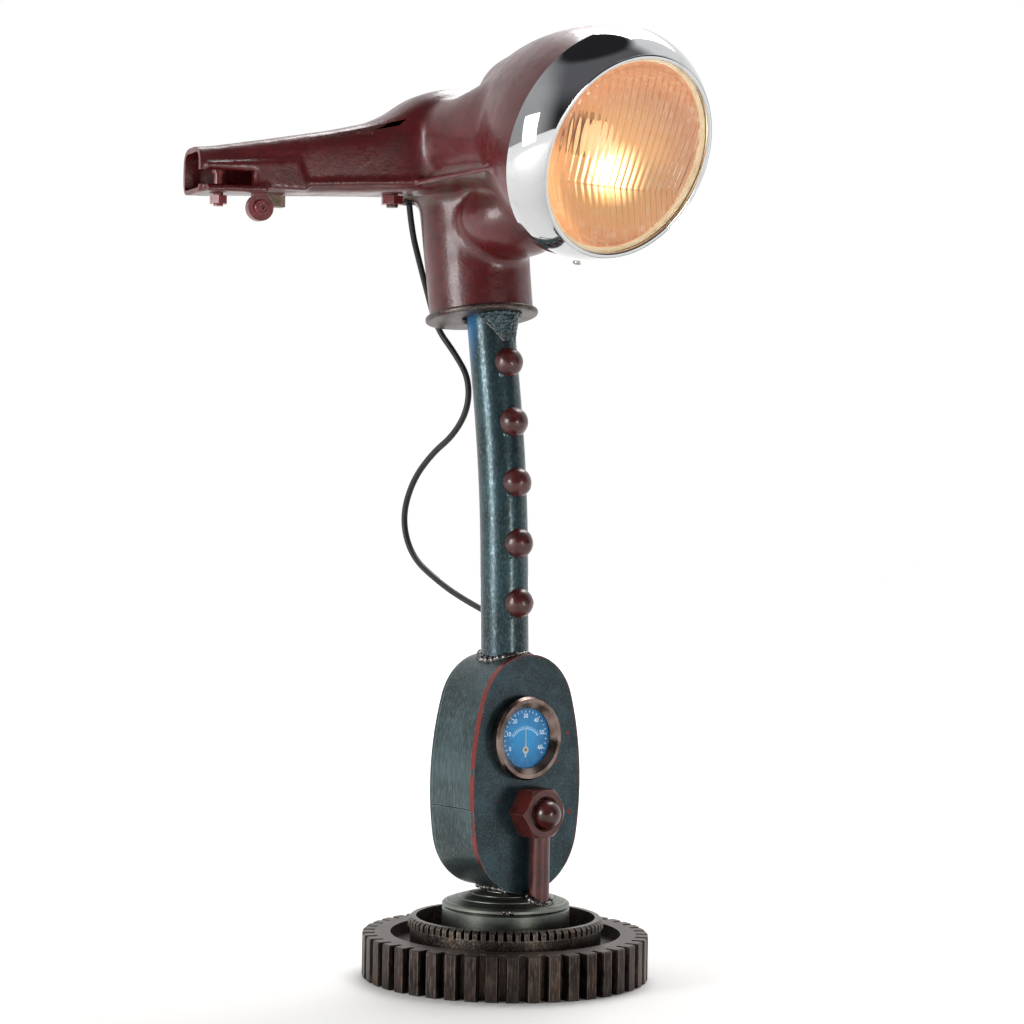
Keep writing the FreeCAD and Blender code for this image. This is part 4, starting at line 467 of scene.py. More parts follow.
cadFinishes = {
    "gear_base": "rustedGear", "base_plug": "turnedPlug", "dog_tooth_ring": "ringSteel", "base_collar": "tintedCollar",
    "end_cap": "turnedCap", "cap_lip_welds": "weldBead", "rod_foot_weld": "weldBead", "drum_foot_welds": "weldBead",
    "front_plate": "platePatina", "drum_band_lower": "bandPatina", "drum_band_upper": "bandPatina",
    "back_plate": "bandPatina", "cover_lugs": "oldBolt", "cover_screws": "zincPlate", "mains_gland": "blackNylon",
    "terminal_block": "blockNylon", "gauge_can": "springSteel", "gauge_bezel": "bezelPlate",
    "gauge_glass": "gaugeGlass", "gauge_dial": "dialBlue", "gauge_needle": "needleWhite",
    "gauge_movement": "brassTurned", "gauge_clamp": "springSteel", "gauge_studs": "zincPlate",
    "gauge_nuts": "brassTurned", "hex_nut": "smallRedEnamel", "button_ball": "domeRedEnamel",
    "button_spring": "springSteel", "switch_body": "springSteel", "stay_rod": "smallRedEnamel",
    "stem_tube": "stemPatina", "stem_gusset": "stemPatina", "stem_foot_weld": "weldBead",
    "stem_top_weld": "weldBead", "stem_domes": "domeRedEnamel", "dome_weld_dots": "stemPatina",
    "lead_grommet_stem": "blackRubber", "lead_grommet_head": "blackRubber", "head_disc": "discSteel",
    "head_spigot": "discSteel", "head_lead": "blackRubber", "headset_casting": "castingEnamel",
    "pod_cover": "castingEnamel", "neck_set_screw": "oldBolt", "arm_bolt": "oldBolt", "arm_nut": "lugRedEnamel",
    "headlamp_rim": "chromePlate", "rim_screw": "zincPlate", "headlamp_glass": "lampGlass",
    "lens_gasket": "creamGasket", "reflector": "litReflector", "bulb_holder": "brassTurned",
    "bulb_base": "brassTurned", "bulb_glass": "litBulb", "lever_pivot_bolts": "lugRedEnamel",
    "lever_pivot_nuts": "lugRedEnamel", "cable_lugs": "lugRedEnamel", "lug_screws": "lugRedEnamel",
    "cable_stops": "oldBolt",
}
for node, finish in cadFinishes.items():
    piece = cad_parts[node]
    piece.data.materials.clear()
    piece.data.materials.append(finishes[finish])


# mesh helpers

def newPiece(name, mesh, finish, body, replaced=(), smooth=True, crease=None):
    piece = bpy.data.objects.new(name, mesh)
    bpy.context.scene.collection.objects.link(piece)
    mesh.materials.clear()
    mesh.materials.append(finishes[finish])
    for face in mesh.polygons:
        face.use_smooth = smooth
    if crease:
        mesh.set_sharp_from_angle(angle=math.radians(crease))
    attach(piece, body)
    if replaced:
        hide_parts(*replaced)
    return piece


def asMesh(build, name, outward=True):
    mesh = bpy.data.meshes.new(name)
    if outward:
        bmesh.ops.recalc_face_normals(build, faces=build.faces)
    build.to_mesh(mesh)
    build.free()
    return mesh


def evaluated(mesh, *modifiers):
    # the mesh after a few modifiers, each (kind, settings)
    holder = bpy.data.objects.new("holder", mesh)
    bpy.context.scene.collection.objects.link(holder)
    for kind, settings in modifiers:
        modifier = holder.modifiers.new(kind.lower(), kind)
        for name, value in settings.items():
            setattr(modifier, name, value)
    graph = bpy.context.evaluated_depsgraph_get()
    made = bpy.data.meshes.new_from_object(holder.evaluated_get(graph))
    bpy.data.objects.remove(holder)
    return made


def cutAway(mesh, tools, solver="EXACT"):
    holders = []
    steps = []
    for tool in tools:
        holder = bpy.data.objects.new("tool", tool)
        bpy.context.scene.collection.objects.link(holder)
        holders.append(holder)
        steps.append(("BOOLEAN", {"operation": "DIFFERENCE", "object": holder, "solver": solver}))
    made = evaluated(mesh, *steps)
    for holder in holders:
        bpy.data.objects.remove(holder)
    return made


def loft(build, rings, closed=False):
    # rings of equal length joined in turn, with flat ends unless they close on themselves
    rows = [[build.verts.new(point) for point in ring] for ring in rings]
    pairs = list(zip(rows, rows[1:])) + ([(rows[-1], rows[0])] if closed else [])
    for low, high in pairs:
        for i in range(len(low)):
            j = (i + 1) % len(low)
            build.faces.new((low[i], low[j], high[j], high[i]))
    if not closed:
        build.faces.new(rows[0][::-1])
        build.faces.new(rows[-1])
    return rows


def spun(build, profile, centre, axis, steps=96):
    # a closed outline of (radius, distance along the axis) turned round the axis
    side = axis.orthogonal().normalized()
    other = axis.cross(side)
    rings = []
    for radius, along in profile:
        rings.append([
            centre + axis * along + (side * math.cos(turn) + other * math.sin(turn)) * radius
            for turn in (2 * math.pi * step / steps for step in range(steps))
        ])
    loft(build, rings, closed=True)


def plug(build, profile, centre, axis, steps=96):
    # a solid of revolution from open (radius, along) stations, with flat ends
    side = axis.orthogonal().normalized()
    other = axis.cross(side)
    loft(build, [[
        centre + axis * along + (side * math.cos(turn) + other * math.sin(turn)) * radius
        for turn in (2 * math.pi * step / steps for step in range(steps))
    ] for radius, along in profile])


def between(stations, at):
    # straight-line value between (place, value) stations
    for (a, low), (b, high) in zip(stations, stations[1:]):
        if at <= b:
            return low + (high - low) * max(0, (at - a) / (b - a))
    return stations[-1][1]


# the free lead between the head and the stem

lead = {"diameter": 0.0044, "length": 0.390}
leadRoute = [
    (-0.0337, 0.0772, 0.5320), (-0.0305, 0.0780, 0.5140), (-0.0210, 0.0815, 0.4940), (-0.0105, 0.0840, 0.4705),
    (-0.0040, 0.0815, 0.4470), (0, 0.0650, 0.4285), (0, 0.0495, 0.4110), (0, 0.0495, 0.3900),
    (0, 0.0650, 0.3715), (0, 0.0900, 0.3580), (0, 0.1125, 0.3380), (0, 0.1235, 0.3110),
    (0, 0.1120, 0.2845), (0, 0.0820, 0.2680), (0, 0.0520, 0.2560), (0, 0.0246, 0.2480),
]
curve = bpy.data.curves.new("headLead", "CURVE")
curve.dimensions = "3D"
line = curve.splines.new("NURBS")
line.points.add(len(leadRoute) - 1)
for point, place in zip(line.points, leadRoute):
    point.co = (*place, 1)
line.order_u = 3
line.use_endpoint_u = True
curve.resolution_u = 12
curve.bevel_depth = lead["diameter"] / 2
curve.bevel_resolution = 5
curve.use_fill_caps = True
leadHolder = bpy.data.objects.new("leadHolder", curve)
bpy.context.scene.collection.objects.link(leadHolder)
leadTube = bpy.data.meshes.new_from_object(leadHolder.evaluated_get(bpy.context.evaluated_depsgraph_get()))
curve.bevel_depth = 0
leadPath = bpy.data.meshes.new_from_object(leadHolder.evaluated_get(bpy.context.evaluated_depsgraph_get()))
bpy.data.objects.remove(leadHolder)
leadTube.materials.append(finishes["blackRubber"])
for face in leadTube.polygons:
    face.use_smooth = True
leadPiece = bpy.data.objects.new("headLead", leadTube)
bpy.context.scene.collection.objects.link(leadPiece)
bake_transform(leadPiece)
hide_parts("head_lead")
print("lead laid")


# the headset casting: one organic shell, blended from neck, pod, bowl and two arms

shell = {
    "wall": 0.0035,
    "softVoxel": 0.0030, "softRounds": 16,
    "fineVoxel": 0.0016, "fineRounds": 3,
    # behind the lamp's back edge: (distance, radius)
    "bowl": [(0, 0.0790), (0.015, 0.0768), (0.030, 0.0727), (0.045, 0.0668), (0.060, 0.0594), (0.075, 0.0503),
             (0.090, 0.0397), (0.105, 0.0305), (0.114, 0.0240)],
    "neckFootRadius": 0.0363, "neckTopRadius": 0.0375, "neckHeight": 0.084,
    "bodyRadius": 0.049, "podRadius": 0.038, "podTop": 0.151,
    # along an arm: (distance from the column, value)
    "armTop": [(0, 0.6110), (0.026, 0.6100), (0.042, 0.6070), (0.052, 0.6015), (0.067, 0.5905), (0.084, 0.5830),
               (0.112, 0.5758), (0.157, 0.5668), (0.206, 0.5575)],
    "armLow": [(0, 0.5400), (0.033, 0.5374), (0.055, 0.5360), (0.100, 0.5333), (0.141, 0.5307), (0.206, 0.5268)],
    "armDepth": [(0, 0.0400), (0.030, 0.0370), (0.060, 0.0290), (0.085, 0.0250), (0.115, 0.0220), (0.206, 0.0180)],
    "armLength": 0.206,
    "topRound": [(0, 0.026), (0.060, 0.020), (0.115, 0.012), (0.206, 0.009)],
    "lowRound": 0.006,
    "lipHeight": 0.0045,
    # cheeks that fill the corner between each arm and the bowl: (Y, half width, underside, top, corner radius)
    "cheeks": [(0.052, 0.056, 0.546, 0.594, 0.020), (0.030, 0.058, 0.543, 0.598, 0.022),
               (0.008, 0.059, 0.540, 0.603, 0.026), (-0.014, 0.060, 0.536, 0.610, 0.032),
               (-0.036, 0.060, 0.530, 0.618, 0.038), (-0.056, 0.062, 0.524, 0.622, 0.044)],
    # chin where the bowl's underside runs down into the neck: centre and half sizes
    "chinPlace": (-0.002, 0.000, 0.519), "chinSize": (0.037, 0.041, 0.027),
}


def armAxes(side):
    turn = math.radians(places["armSweep"])
    return Vector((side * math.cos(turn), math.sin(turn), 0)), Vector((-side * math.sin(turn), math.cos(turn), 0))


def armPoint(side, reach, across, height):
    along, rearward = armAxes(side)
    return places["armRoot"] + along * reach + rearward * across + Vector((0, 0, height))


def armRing(side, reach, inset=0.0):
    # one cross-section of an arm: a box with a round top and a tight lower edge
    top = between(shell["armTop"], reach) - inset
    low = between(shell["armLow"], reach) + inset
    depth = between(shell["armDepth"], reach) - inset
    roundTop = max(0.002, min(between(shell["topRound"], reach) - inset, depth * 0.95, (top - low) * 0.6))
    roundLow = max(0.0015, shell["lowRound"] - inset)
    ring = []
    for across, height, radius, start in (
        (depth - roundTop, top - roundTop, roundTop, 0), (-(depth - roundTop), top - roundTop, roundTop, 90),
        (-(depth - roundLow), low + roundLow, roundLow, 180), (depth - roundLow, low + roundLow, roundLow, 270),
    ):
        for step in range(9):
            turn = math.radians(start + step * 90 / 8)
            ring.append(armPoint(side, reach, across + radius * math.cos(turn), height + radius * math.sin(turn)))
    return ring


def armSolid(build, side, inset=0.0, extra=0.0):
    reaches = [shell["armLength"] * step / 22 for step in range(23)]
    reaches[-1] += extra
    rings = [armRing(side, min(reach, shell["armLength"]), inset) for reach in reaches]
    if extra:
        along = armAxes(side)[0]
        rings[-1] = [point + along * extra for point in rings[-1]]
    loft(build, rings)


def lampRing(radius, behind):
    return radius, -behind


def cheekRing(y, half, low, top, corner):
    ring = []
    for x, z, start in ((half - corner, top - corner, 0), (-(half - corner), top - corner, 90),
                        (-(half - corner), low + corner, 180), (half - corner, low + corner, 270)):
        for step in range(9):
            turn = math.radians(start + step * 90 / 8)
            ring.append(Vector((x + corner * math.cos(turn), y, z + corner * math.sin(turn))))
    return ring


def castingCore():
    neck = places["neckFoot"]
    build = bmesh.new()
    plug(build, [
        (shell["neckFootRadius"], -0.012), (shell["neckFootRadius"], 0), (shell["neckTopRadius"], shell["neckHeight"]),
        (shell["neckTopRadius"], shell["neckHeight"] + 0.03),
    ], neck, neckUp)
    plug(build, [
        (shell["bodyRadius"] * 0.92, shell["neckHeight"] - 0.001), (shell["bodyRadius"], shell["neckHeight"] + 0.006),
        (shell["bodyRadius"], shell["neckHeight"] + 0.016), (shell["podRadius"], 0.128),
        (shell["podRadius"], shell["podTop"]),
    ], neck, neckUp)
    plug(build, [(0.0790, 0.010)] + [(radius, -behind) for behind, radius in shell["bowl"]], places["lampBack"], lampOut)
    for side in (-1, 1):
        armSolid(build, side, extra=0.010)
    loft(build, [cheekRing(*station) for station in shell["cheeks"]])
    chin = Matrix.Translation(shell["chinPlace"]) @ Matrix.Diagonal((*shell["chinSize"], 1))
    bmesh.ops.create_uvsphere(build, u_segments=32, v_segments=20, radius=1, matrix=chin)
    joined = asMesh(build, "castingCore")
    return evaluated(
        joined,
        ("REMESH", {"mode": "VOXEL", "voxel_size": shell["softVoxel"]}),
        ("SMOOTH", {"factor": 0.5, "iterations": shell["softRounds"]}),
    )


def bar(build, points, radius, steps=10):
    # a round bar along a line of points
    rings = []
    for i, point in enumerate(points):
        ahead = (points[min(i + 1, len(points) - 1)] - points[max(i - 1, 0)]).normalized()
        side = ahead.cross(Vector((0, 0, 1))).normalized()
        up = side.cross(ahead)
        rings.append([
            point + (side * math.cos(turn) + up * math.sin(turn)) * radius
            for turn in (2 * math.pi * step / steps for step in range(steps))
        ])
    loft(build, rings)


def block(build, corners, thickness, normal):
    # a flat plate from a polygon's corners
    loft(build, [[corner - normal * thickness / 2 for corner in corners], [corner + normal * thickness / 2 for corner in corners]])


def lipLine(core, side):
    # the raised seam along the casting's lower edge, laid on its surface
    tree = BVHTree.FromPolygons([v.co for v in core.vertices], [p.vertices for p in core.polygons])
    wanted = [(0.200, 0.5345), (0.160, 0.5355), (0.122, 0.5378), (0.090, 0.5400), (0.055, 0.5420), (0.030, 0.5458),
              (0.010, 0.5502), (-0.010, 0.5552), (-0.026, 0.5602)]
    points = []
    for reach, height in wanted:
        start = armPoint(side, reach, -0.16 if reach > 0.02 else -0.12, height)
        into = armAxes(side)[1]
        found = tree.ray_cast(start, into, 0.25)
        if found[0] is not None:
            points.append(found[0])
    return points


def castingPiece():
    core = castingCore()
    build = bmesh.new()
    build.from_mesh(core)
    for side in (-1, 1):
        points = lipLine(core, side)
        fine = []
        for a, b in zip(points, points[1:]):
            fine += [a.lerp(b, step / 6) for step in range(6)]
        bar(build, fine + [points[-1]], shell["lipHeight"] / 2)
        # hood over the window and the thick panel beside it, ending at a crease
        front = -between(shell["armDepth"], 0.165)
        for corners in (
            ((0.203, 0.5470), (0.138, 0.5528), (0.134, 0.5440), (0.203, 0.5430)),
            ((0.168, 0.5440), (0.134, 0.5440), (0.131, 0.5322), (0.168, 0.5318)),
        ):
            block(build, [armPoint(side, reach, front + 0.0016, height) for reach, height in corners], 0.0090,
                  armAxes(side)[1])
        # shelf under the window
        shelf = [armPoint(side, reach, front, height) for reach, height in (
            (0.2028, 0.5276), (0.160, 0.5290), (0.160, 0.5332), (0.2028, 0.5318))]
        block(build, shelf, 0.0110, armAxes(side)[1])
    joined = asMesh(build, "castingJoined", outward=False)
    skin = evaluated(
        joined,
        ("REMESH", {"mode": "VOXEL", "voxel_size": shell["fineVoxel"]}),
        ("SMOOTH", {"factor": 0.5, "iterations": shell["fineRounds"]}),
    )
    # square ends where the smoothing rounded them
    build = bmesh.new()
    build.from_mesh(skin)
    cuts = [(places["lampBack"] - lampOut * 0.0002, lampOut), (places["neckFoot"] + neckUp * 0.0003, -neckUp)]
    for side in (-1, 1):
        cuts.append((armPoint(side, shell["armLength"] - 0.0003, 0, 0.54), armAxes(side)[0]))
    for place, normal in cuts:
        geometry = build.verts[:] + build.edges[:] + build.faces[:]
        cut = bmesh.ops.bisect_plane(build, geom=geometry, plane_co=place, plane_no=normal, clear_outer=True, dist=1e-7)
        rim = [item for item in cut["geom_cut"] if isinstance(item, bmesh.types.BMEdge)]
        bmesh.ops.holes_fill(build, edges=rim, sides=0)
    solid = asMesh(build, "castingSolid")

    wall = shell["wall"]
    neck = places["neckFoot"]
    tools = []
    tool = bmesh.new()
    plug(tool, [(0.0323, -0.004), (0.0323, shell["neckHeight"] + 0.004), (shell["bodyRadius"] - wall - 0.004, shell["neckHeight"] + 0.005),
                (shell["bodyRadius"] - wall - 0.004, 0.098), (shell["podRadius"] - wall - 0.0002, 0.126),
                (shell["podRadius"] - wall - 0.0002, shell["podTop"] + 0.022)], neck, neckUp)
    tools.append(asMesh(tool, "neckHollow"))
    tool = bmesh.new()
    inner = [(radius - wall, -behind) for behind, radius in shell["bowl"][:-2]]
    plug(tool, [(0.0790 - wall, 0.006)] + inner, places["lampBack"], lampOut)
    tools.append(asMesh(tool, "bowlHollow"))
    for side in (-1, 1):
        tool = bmesh.new()
        armSolid(tool, side, inset=wall, extra=0.006)
        tools.append(asMesh(tool, "armHollow"))
        tool = bmesh.new()
        front = -between(shell["armDepth"], 0.180)
        window = [armPoint(side, reach, front, height) for reach, height in (
            (0.2150, 0.5322), (0.1690, 0.5334), (0.1690, 0.5428), (0.2150, 0.5422))]
        block(tool, window, 0.022, armAxes(side)[1])
        tools.append(asMesh(tool, "window"))
        tool = bmesh.new()
        pin = armPoint(side, 0.190, -0.0095, 0.520)
        plug(tool, [(0.0034, 0), (0.0034, 0.016)], pin, Vector((0, 0, 1)), 24)
        tools.append(asMesh(tool, "pinHole"))
        tool = bmesh.new()
        slit = [armPoint(side, reach, 0, height) for reach, height in (
            (0.1365, 0.5640), (0.0470, 0.5850), (0.0480, 0.5886), (0.1365, 0.5662))]
        block(tool, slit, 0.008, armAxes(side)[1])
        moved = armAxes(side)[1] * -between(shell["armDepth"], 0.095)
        for vert in tool.verts:
            vert.co += moved + armAxes(side)[1] * 0.0026
        tools.append(asMesh(tool, "slit"))
    tool = bmesh.new()
    plug(tool, [(0.0041, 0), (0.0041, 0.016)], armPoint(-1, 0.061, 0, 0.526), Vector((0, 0, 1)), 24)
    tools.append(asMesh(tool, "boltHole"))
    tool = bmesh.new()
    turn = math.radians(140)
    exit = neck + neckUp * 0.070 + Vector((1, 0, 0)) * 0.044 * math.cos(turn) + neckUp.cross(Vector((1, 0, 0))) * 0.044 * math.sin(turn)
    plug(tool, [(0.0042, 0), (0.0042, 0.026)], exit, neckUp, 24)
    tools.append(asMesh(tool, "leadHole"))
    mesh = cutAway(solid, tools)
    piece = newPiece("headsetShell", mesh, "castingEnamel", "head", ["headset_casting"], crease=50)
    print("casting blended,", len(mesh.polygons), "faces")
    return piece


castingPiece()


# screws that hold the cable lugs: a chamfered head with a raised ring and a hexagon recess

lugScrew = {"head": 0.0050, "headHeight": 0.0030, "shank": 0.0025, "shankLength": 0.0060, "hexRadius": 0.0019,
            "hexDepth": 0.0016, "reach": 0.161, "across": -0.0095, "low": 0.52}


def lugScrewPiece():
    joined = bmesh.new()
    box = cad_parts["lug_screws"]
    corners = [box.matrix_world @ vert.co for vert in box.data.vertices]
    for side in (-1, 1):
        mine = [corner for corner in corners if corner.x * side > 0]
        rearward = armAxes(side)[1]
        depths = [corner.dot(rearward) for corner in mine]
        along = armAxes(side)[0]
        reaches = [corner.dot(along) for corner in mine]
        heights = [corner.z for corner in mine]
        front = along * (min(reaches) + max(reaches)) / 2 + rearward * min(depths)
        front.z = (min(heights) + max(heights)) / 2
        head, high = lugScrew["head"], lugScrew["headHeight"]
        build = bmesh.new()
        plug(build, [
            (lugScrew["shank"], high + lugScrew["shankLength"]), (lugScrew["shank"], high), (head, high), (head, 0.0008),
            (head - 0.0006, 0.0002), (head - 0.0011, 0.0002), (head - 0.0013, 0.0007), (head - 0.0018, 0.0007),
            (head - 0.0021, 0.0), (0.0004, 0.0),
        ], front, rearward, 64)
        solid = asMesh(build, "lugScrew")
        tool = bmesh.new()
        plug(tool, [(lugScrew["hexRadius"], -0.001), (lugScrew["hexRadius"], lugScrew["hexDepth"])], front, rearward, 6)
        made = cutAway(solid, [asMesh(tool, "hexRecess")])
        joined.from_mesh(made)
    newPiece("lugScrews", asMesh(joined, "lugScrews"), "lugRedEnamel", "head", ["lug_screws"], crease=30)


lugScrewPiece()


# headlamp: chrome rim, fluted glass

rim = {
    "backRadius": 0.0800, "frontRadius": 0.0695, "depth": 0.02695, "curve": 0.048, "wall": 0.0014, "lip": 0.0662,
    "beadRadius": 0.0016,
}
glass = {
    "radius": 0.0662, "thickness": 0.0030, "dome": 0.0055, "flutePitch": 0.0054, "fluteDepth": 0.00045,
    "edgeBand": 0.0048, "line": -0.020, "lowerSlant": 0.55, "rings": 84, "steps": 300,
}


def rimPiece():
    wall = rim["wall"]
    outer = []
    half = math.hypot(rim["backRadius"] - rim["frontRadius"], rim["depth"] - 0.0003) / 2
    rise = rim["curve"] - math.sqrt(rim["curve"] ** 2 - half ** 2)
    steps = 20
    start = Vector((rim["backRadius"], 0.0003))
    end = Vector((rim["frontRadius"], rim["depth"]))
    bulge = Vector((end.y - start.y, start.x - end.x)).normalized()
    for step in range(steps + 1):
        share = step / steps
        lift = math.sqrt(rim["curve"] ** 2 - (half * (2 * share - 1)) ** 2) - (rim["curve"] - rise)
        outer.append(start.lerp(end, share) + bulge * lift)
    # the front edge rolls inwards round the glass
    roll = rim["frontRadius"] - rim["lip"]
    for step in range(1, 9):
        turn = math.radians(step * 180 / 8)
        outer.append(Vector((rim["frontRadius"] - roll / 2 + math.cos(turn) * roll / 2,
                             rim["depth"] - 0.00065 + math.sin(turn) * roll * 0.32)))
    inner = [Vector((rim["lip"], rim["depth"] - 0.0020))]
    for step in range(steps + 1):
        share = 1 - step / steps
        lift = math.sqrt(rim["curve"] ** 2 - (half * (2 * share - 1)) ** 2) - (rim["curve"] - rise)
        point = start.lerp(end, share) + bulge * (lift - wall)
        inner.append(Vector((max(point.x, rim["lip"] + 0.0004), min(point.y, rim["depth"] - 0.0021))))
    build = bmesh.new()
    spun(build, [(point.x, point.y) for point in outer + inner], places["lampBack"], lampOut, 160)
    bmesh.ops.remove_doubles(build, verts=build.verts, dist=1e-6)
    newPiece("lampRim", asMesh(build, "lampRim"), "chromePlate", "head", ["headlamp_rim"], crease=60)


def glassPiece():
    # X and Y across the glass, seen from in front, and out along the lamp
    across = lampOut.cross(lampUp)
    centre = places["lampBack"] + lampOut * (rim["depth"] - 0.0024)
    radius = glass["radius"]

    def front(reach):
        return glass["dome"] * (1 - (reach / radius) ** 2) - 0.0004

    def flutes(x, y, reach):
        fade = max(0.0, min(1.0, (radius - glass["edgeBand"] - reach) / 0.002))
        if y > glass["line"]:
            # upright flutes that fan out a little towards the top
            place = x / (1 + (y - glass["line"]) * 2.2)
        else:
            place = x - (y - glass["line"]) * glass["lowerSlant"]
        wave = abs(math.sin(math.pi * place / glass["flutePitch"]))
        groove = math.exp(-((y - glass["line"]) / 0.0006) ** 2)
        return fade * (glass["fluteDepth"] * wave + groove * 0.0003)

    build = bmesh.new()
    sheets = []
    for back in (False, True):
        rows = []
        for ring in range(1, glass["rings"] + 1):
            reach = radius * ring / glass["rings"]
            row = []
            for step in range(glass["steps"]):
                turn = 2 * math.pi * step / glass["steps"]
                x, y = reach * math.cos(turn), reach * math.sin(turn)
                out = front(reach)
                if back:
                    out -= glass["thickness"] - flutes(x, y, reach)
                row.append(build.verts.new(centre + across * x + lampUp * y + lampOut * out))
            rows.append(row)
        out = front(0) - (glass["thickness"] if back else 0)
        pole = build.verts.new(centre + lampOut * out)
        for i in range(glass["steps"]):
            j = (i + 1) % glass["steps"]
            build.faces.new((pole, rows[0][i], rows[0][j]))
            for low, high in zip(rows, rows[1:]):
                build.faces.new((low[i], high[i], high[j], low[j]))
        sheets.append(rows[-1])
    for i in range(glass["steps"]):
        j = (i + 1) % glass["steps"]
        build.faces.new((sheets[0][i], sheets[1][i], sheets[1][j], sheets[0][j]))
    newPiece("lampGlass", asMesh(build, "lampGlass"), "lampGlass", "head", ["headlamp_glass"], crease=40)


rimPiece()
glassPiece()
print("headlamp closed")


# what repeats, made by node trees

def newTree(name, inputs):
    tree = bpy.data.node_groups.new(name, "GeometryNodeTree")
    tree.interface.new_socket("Geometry", in_out="OUTPUT", socket_type="NodeSocketGeometry")
    sockets = {}
    for label, (kind, value) in inputs.items():
        socket = tree.interface.new_socket(label, in_out="INPUT", socket_type=kind)
        if value is not None:
            socket.default_value = value
        sockets[label] = socket.identifier
    entry = tree.nodes.new("NodeGroupInput")
    return tree, entry, sockets


def fromTree(name, tree, sockets, values):
    # runs the tree with these values on an empty mesh and keeps the result as a plain mesh
    holder = bpy.data.objects.new(name, bpy.data.meshes.new(name))
    bpy.context.scene.collection.objects.link(holder)
    modifier = holder.modifiers.new("nodes", "NODES")
    modifier.node_group = tree
    for label, value in values.items():
        modifier[sockets[label]] = value
    graph = bpy.context.evaluated_depsgraph_get()
    mesh = bpy.data.meshes.new_from_object(holder.evaluated_get(graph))
    bpy.data.objects.remove(holder)
    return mesh


def finishTree(tree, geometry, finish):
    real = addNode(tree, "GeometryNodeRealizeInstances", {"Geometry": geometry})
    painted = addNode(tree, "GeometryNodeSetMaterial", {"Geometry": real.outputs[0], "Material": finishes[finish]})
    addNode(tree, "NodeGroupOutput", {0: painted.outputs[0]})


# stem domes, welded in a row up the front

domes = {"count": 5, "radius": 0.0104, "offset": 0.0150, "first": 0.2555, "pitch": 0.0408}


def stemCentre(height):
    # the stem leans 2 degrees at its foot and 8.9 at the top, with the bend between 288 and 396 mm
    lean, angle = math.radians(2), math.radians(8.9)
    bendAt = 0.3424
    reach = 0.9 * math.tan((angle - lean) / 2)
    bendY = 0.0052 + math.tan(lean) * (bendAt - 0.2203)
    startZ, endZ = bendAt - math.cos(lean) * reach, bendAt + math.cos(angle) * reach
    if height < startZ:
        return Vector((0, bendY + math.tan(lean) * (height - bendAt), height)), lean
    if height > endZ:
        return Vector((0, bendY + math.tan(angle) * (height - bendAt), height)), angle
    startY = bendY - math.sin(lean) * reach
    centreY, centreZ = startY + 0.9 * math.cos(lean), startZ - 0.9 * math.sin(lean)
    here = math.asin((height - centreZ) / 0.9)
    return Vector((0, centreY - 0.9 * math.cos(here), height)), here


def domePieces():
    tree, entry, sockets = newTree("weldedDomes", {
        "Count": ("NodeSocketInt", 5), "Radius": ("NodeSocketFloat", 0.01), "Pitch": ("NodeSocketFloat", 0.04),
        "Seed": ("NodeSocketInt", 3),
    })
    row = addNode(tree, "GeometryNodeMeshLine", {"Count": entry.outputs["Count"]})
    up = addNode(tree, "ShaderNodeCombineXYZ", {2: entry.outputs["Pitch"]})
    tree.links.new(up.outputs[0], row.inputs["Offset"])
    ball = addNode(tree, "GeometryNodeMeshUVSphere", {"Segments": 48, "Rings": 32, "Radius": entry.outputs["Radius"]})
    dented = addNode(tree, "GeometryNodeSetPosition", {"Geometry": ball.outputs[0]})
    seat = addNode(tree, "GeometryNodeInputPosition")
    lumps = addNode(tree, "ShaderNodeTexNoise", {"Vector": seat.outputs[0], "Scale": 160.0, "Detail": 1.0})
    level = addNode(tree, "ShaderNodeMath", {0: lumps.outputs["Fac"], 1: 0.5}, operation="SUBTRACT")
    small = addNode(tree, "ShaderNodeMath", {0: level.outputs[0], 1: 0.0009}, operation="MULTIPLY")
    normal = addNode(tree, "GeometryNodeInputNormal")
    push = addNode(tree, "ShaderNodeVectorMath", {0: normal.outputs[0]}, operation="SCALE")
    tree.links.new(small.outputs[0], push.inputs["Scale"])
    tree.links.new(push.outputs[0], dented.inputs["Offset"])
    spin = addNode(tree, "FunctionNodeRandomValue", {0: (0, 0, 0), 1: (6.28, 6.28, 6.28), "Seed": entry.outputs["Seed"]},
                   data_type="FLOAT_VECTOR")
    placed = addNode(tree, "GeometryNodeInstanceOnPoints", {
        "Points": row.outputs[0], "Instance": dented.outputs[0], "Rotation": spin.outputs[0]})
    finishTree(tree, placed.outputs[0], "domeRedEnamel")
    mesh = fromTree("stemDomes", tree, sockets, {
        "Count": domes["count"], "Radius": domes["radius"], "Pitch": domes["pitch"], "Seed": 3})
    # each dome in the row goes to its place on the bent stem
    for vert in mesh.vertices:
        index = max(0, min(domes["count"] - 1, round(vert.co.z / domes["pitch"])))
        centre, lean = stemCentre(domes["first"] + index * domes["pitch"])
        seatPoint = centre + Vector((0, -math.cos(lean), math.sin(lean))) * domes["offset"]
        vert.co = seatPoint + Vector((vert.co.x, vert.co.y, vert.co.z - index * domes["pitch"]))
    newPiece("stemDomes", mesh, "domeRedEnamel", "base", ["stem_domes"])


domePieces()


# filler plate: flares out of the stem's front over the top dome and up to the disc

filler = {"stemRadius": 0.0165, "foot": 0.4335, "top": 0.4529, "footReach": 0.0004, "topReach": 0.0046,
          "left": (14, 66), "right": (30, 62), "lumps": 0.0007}


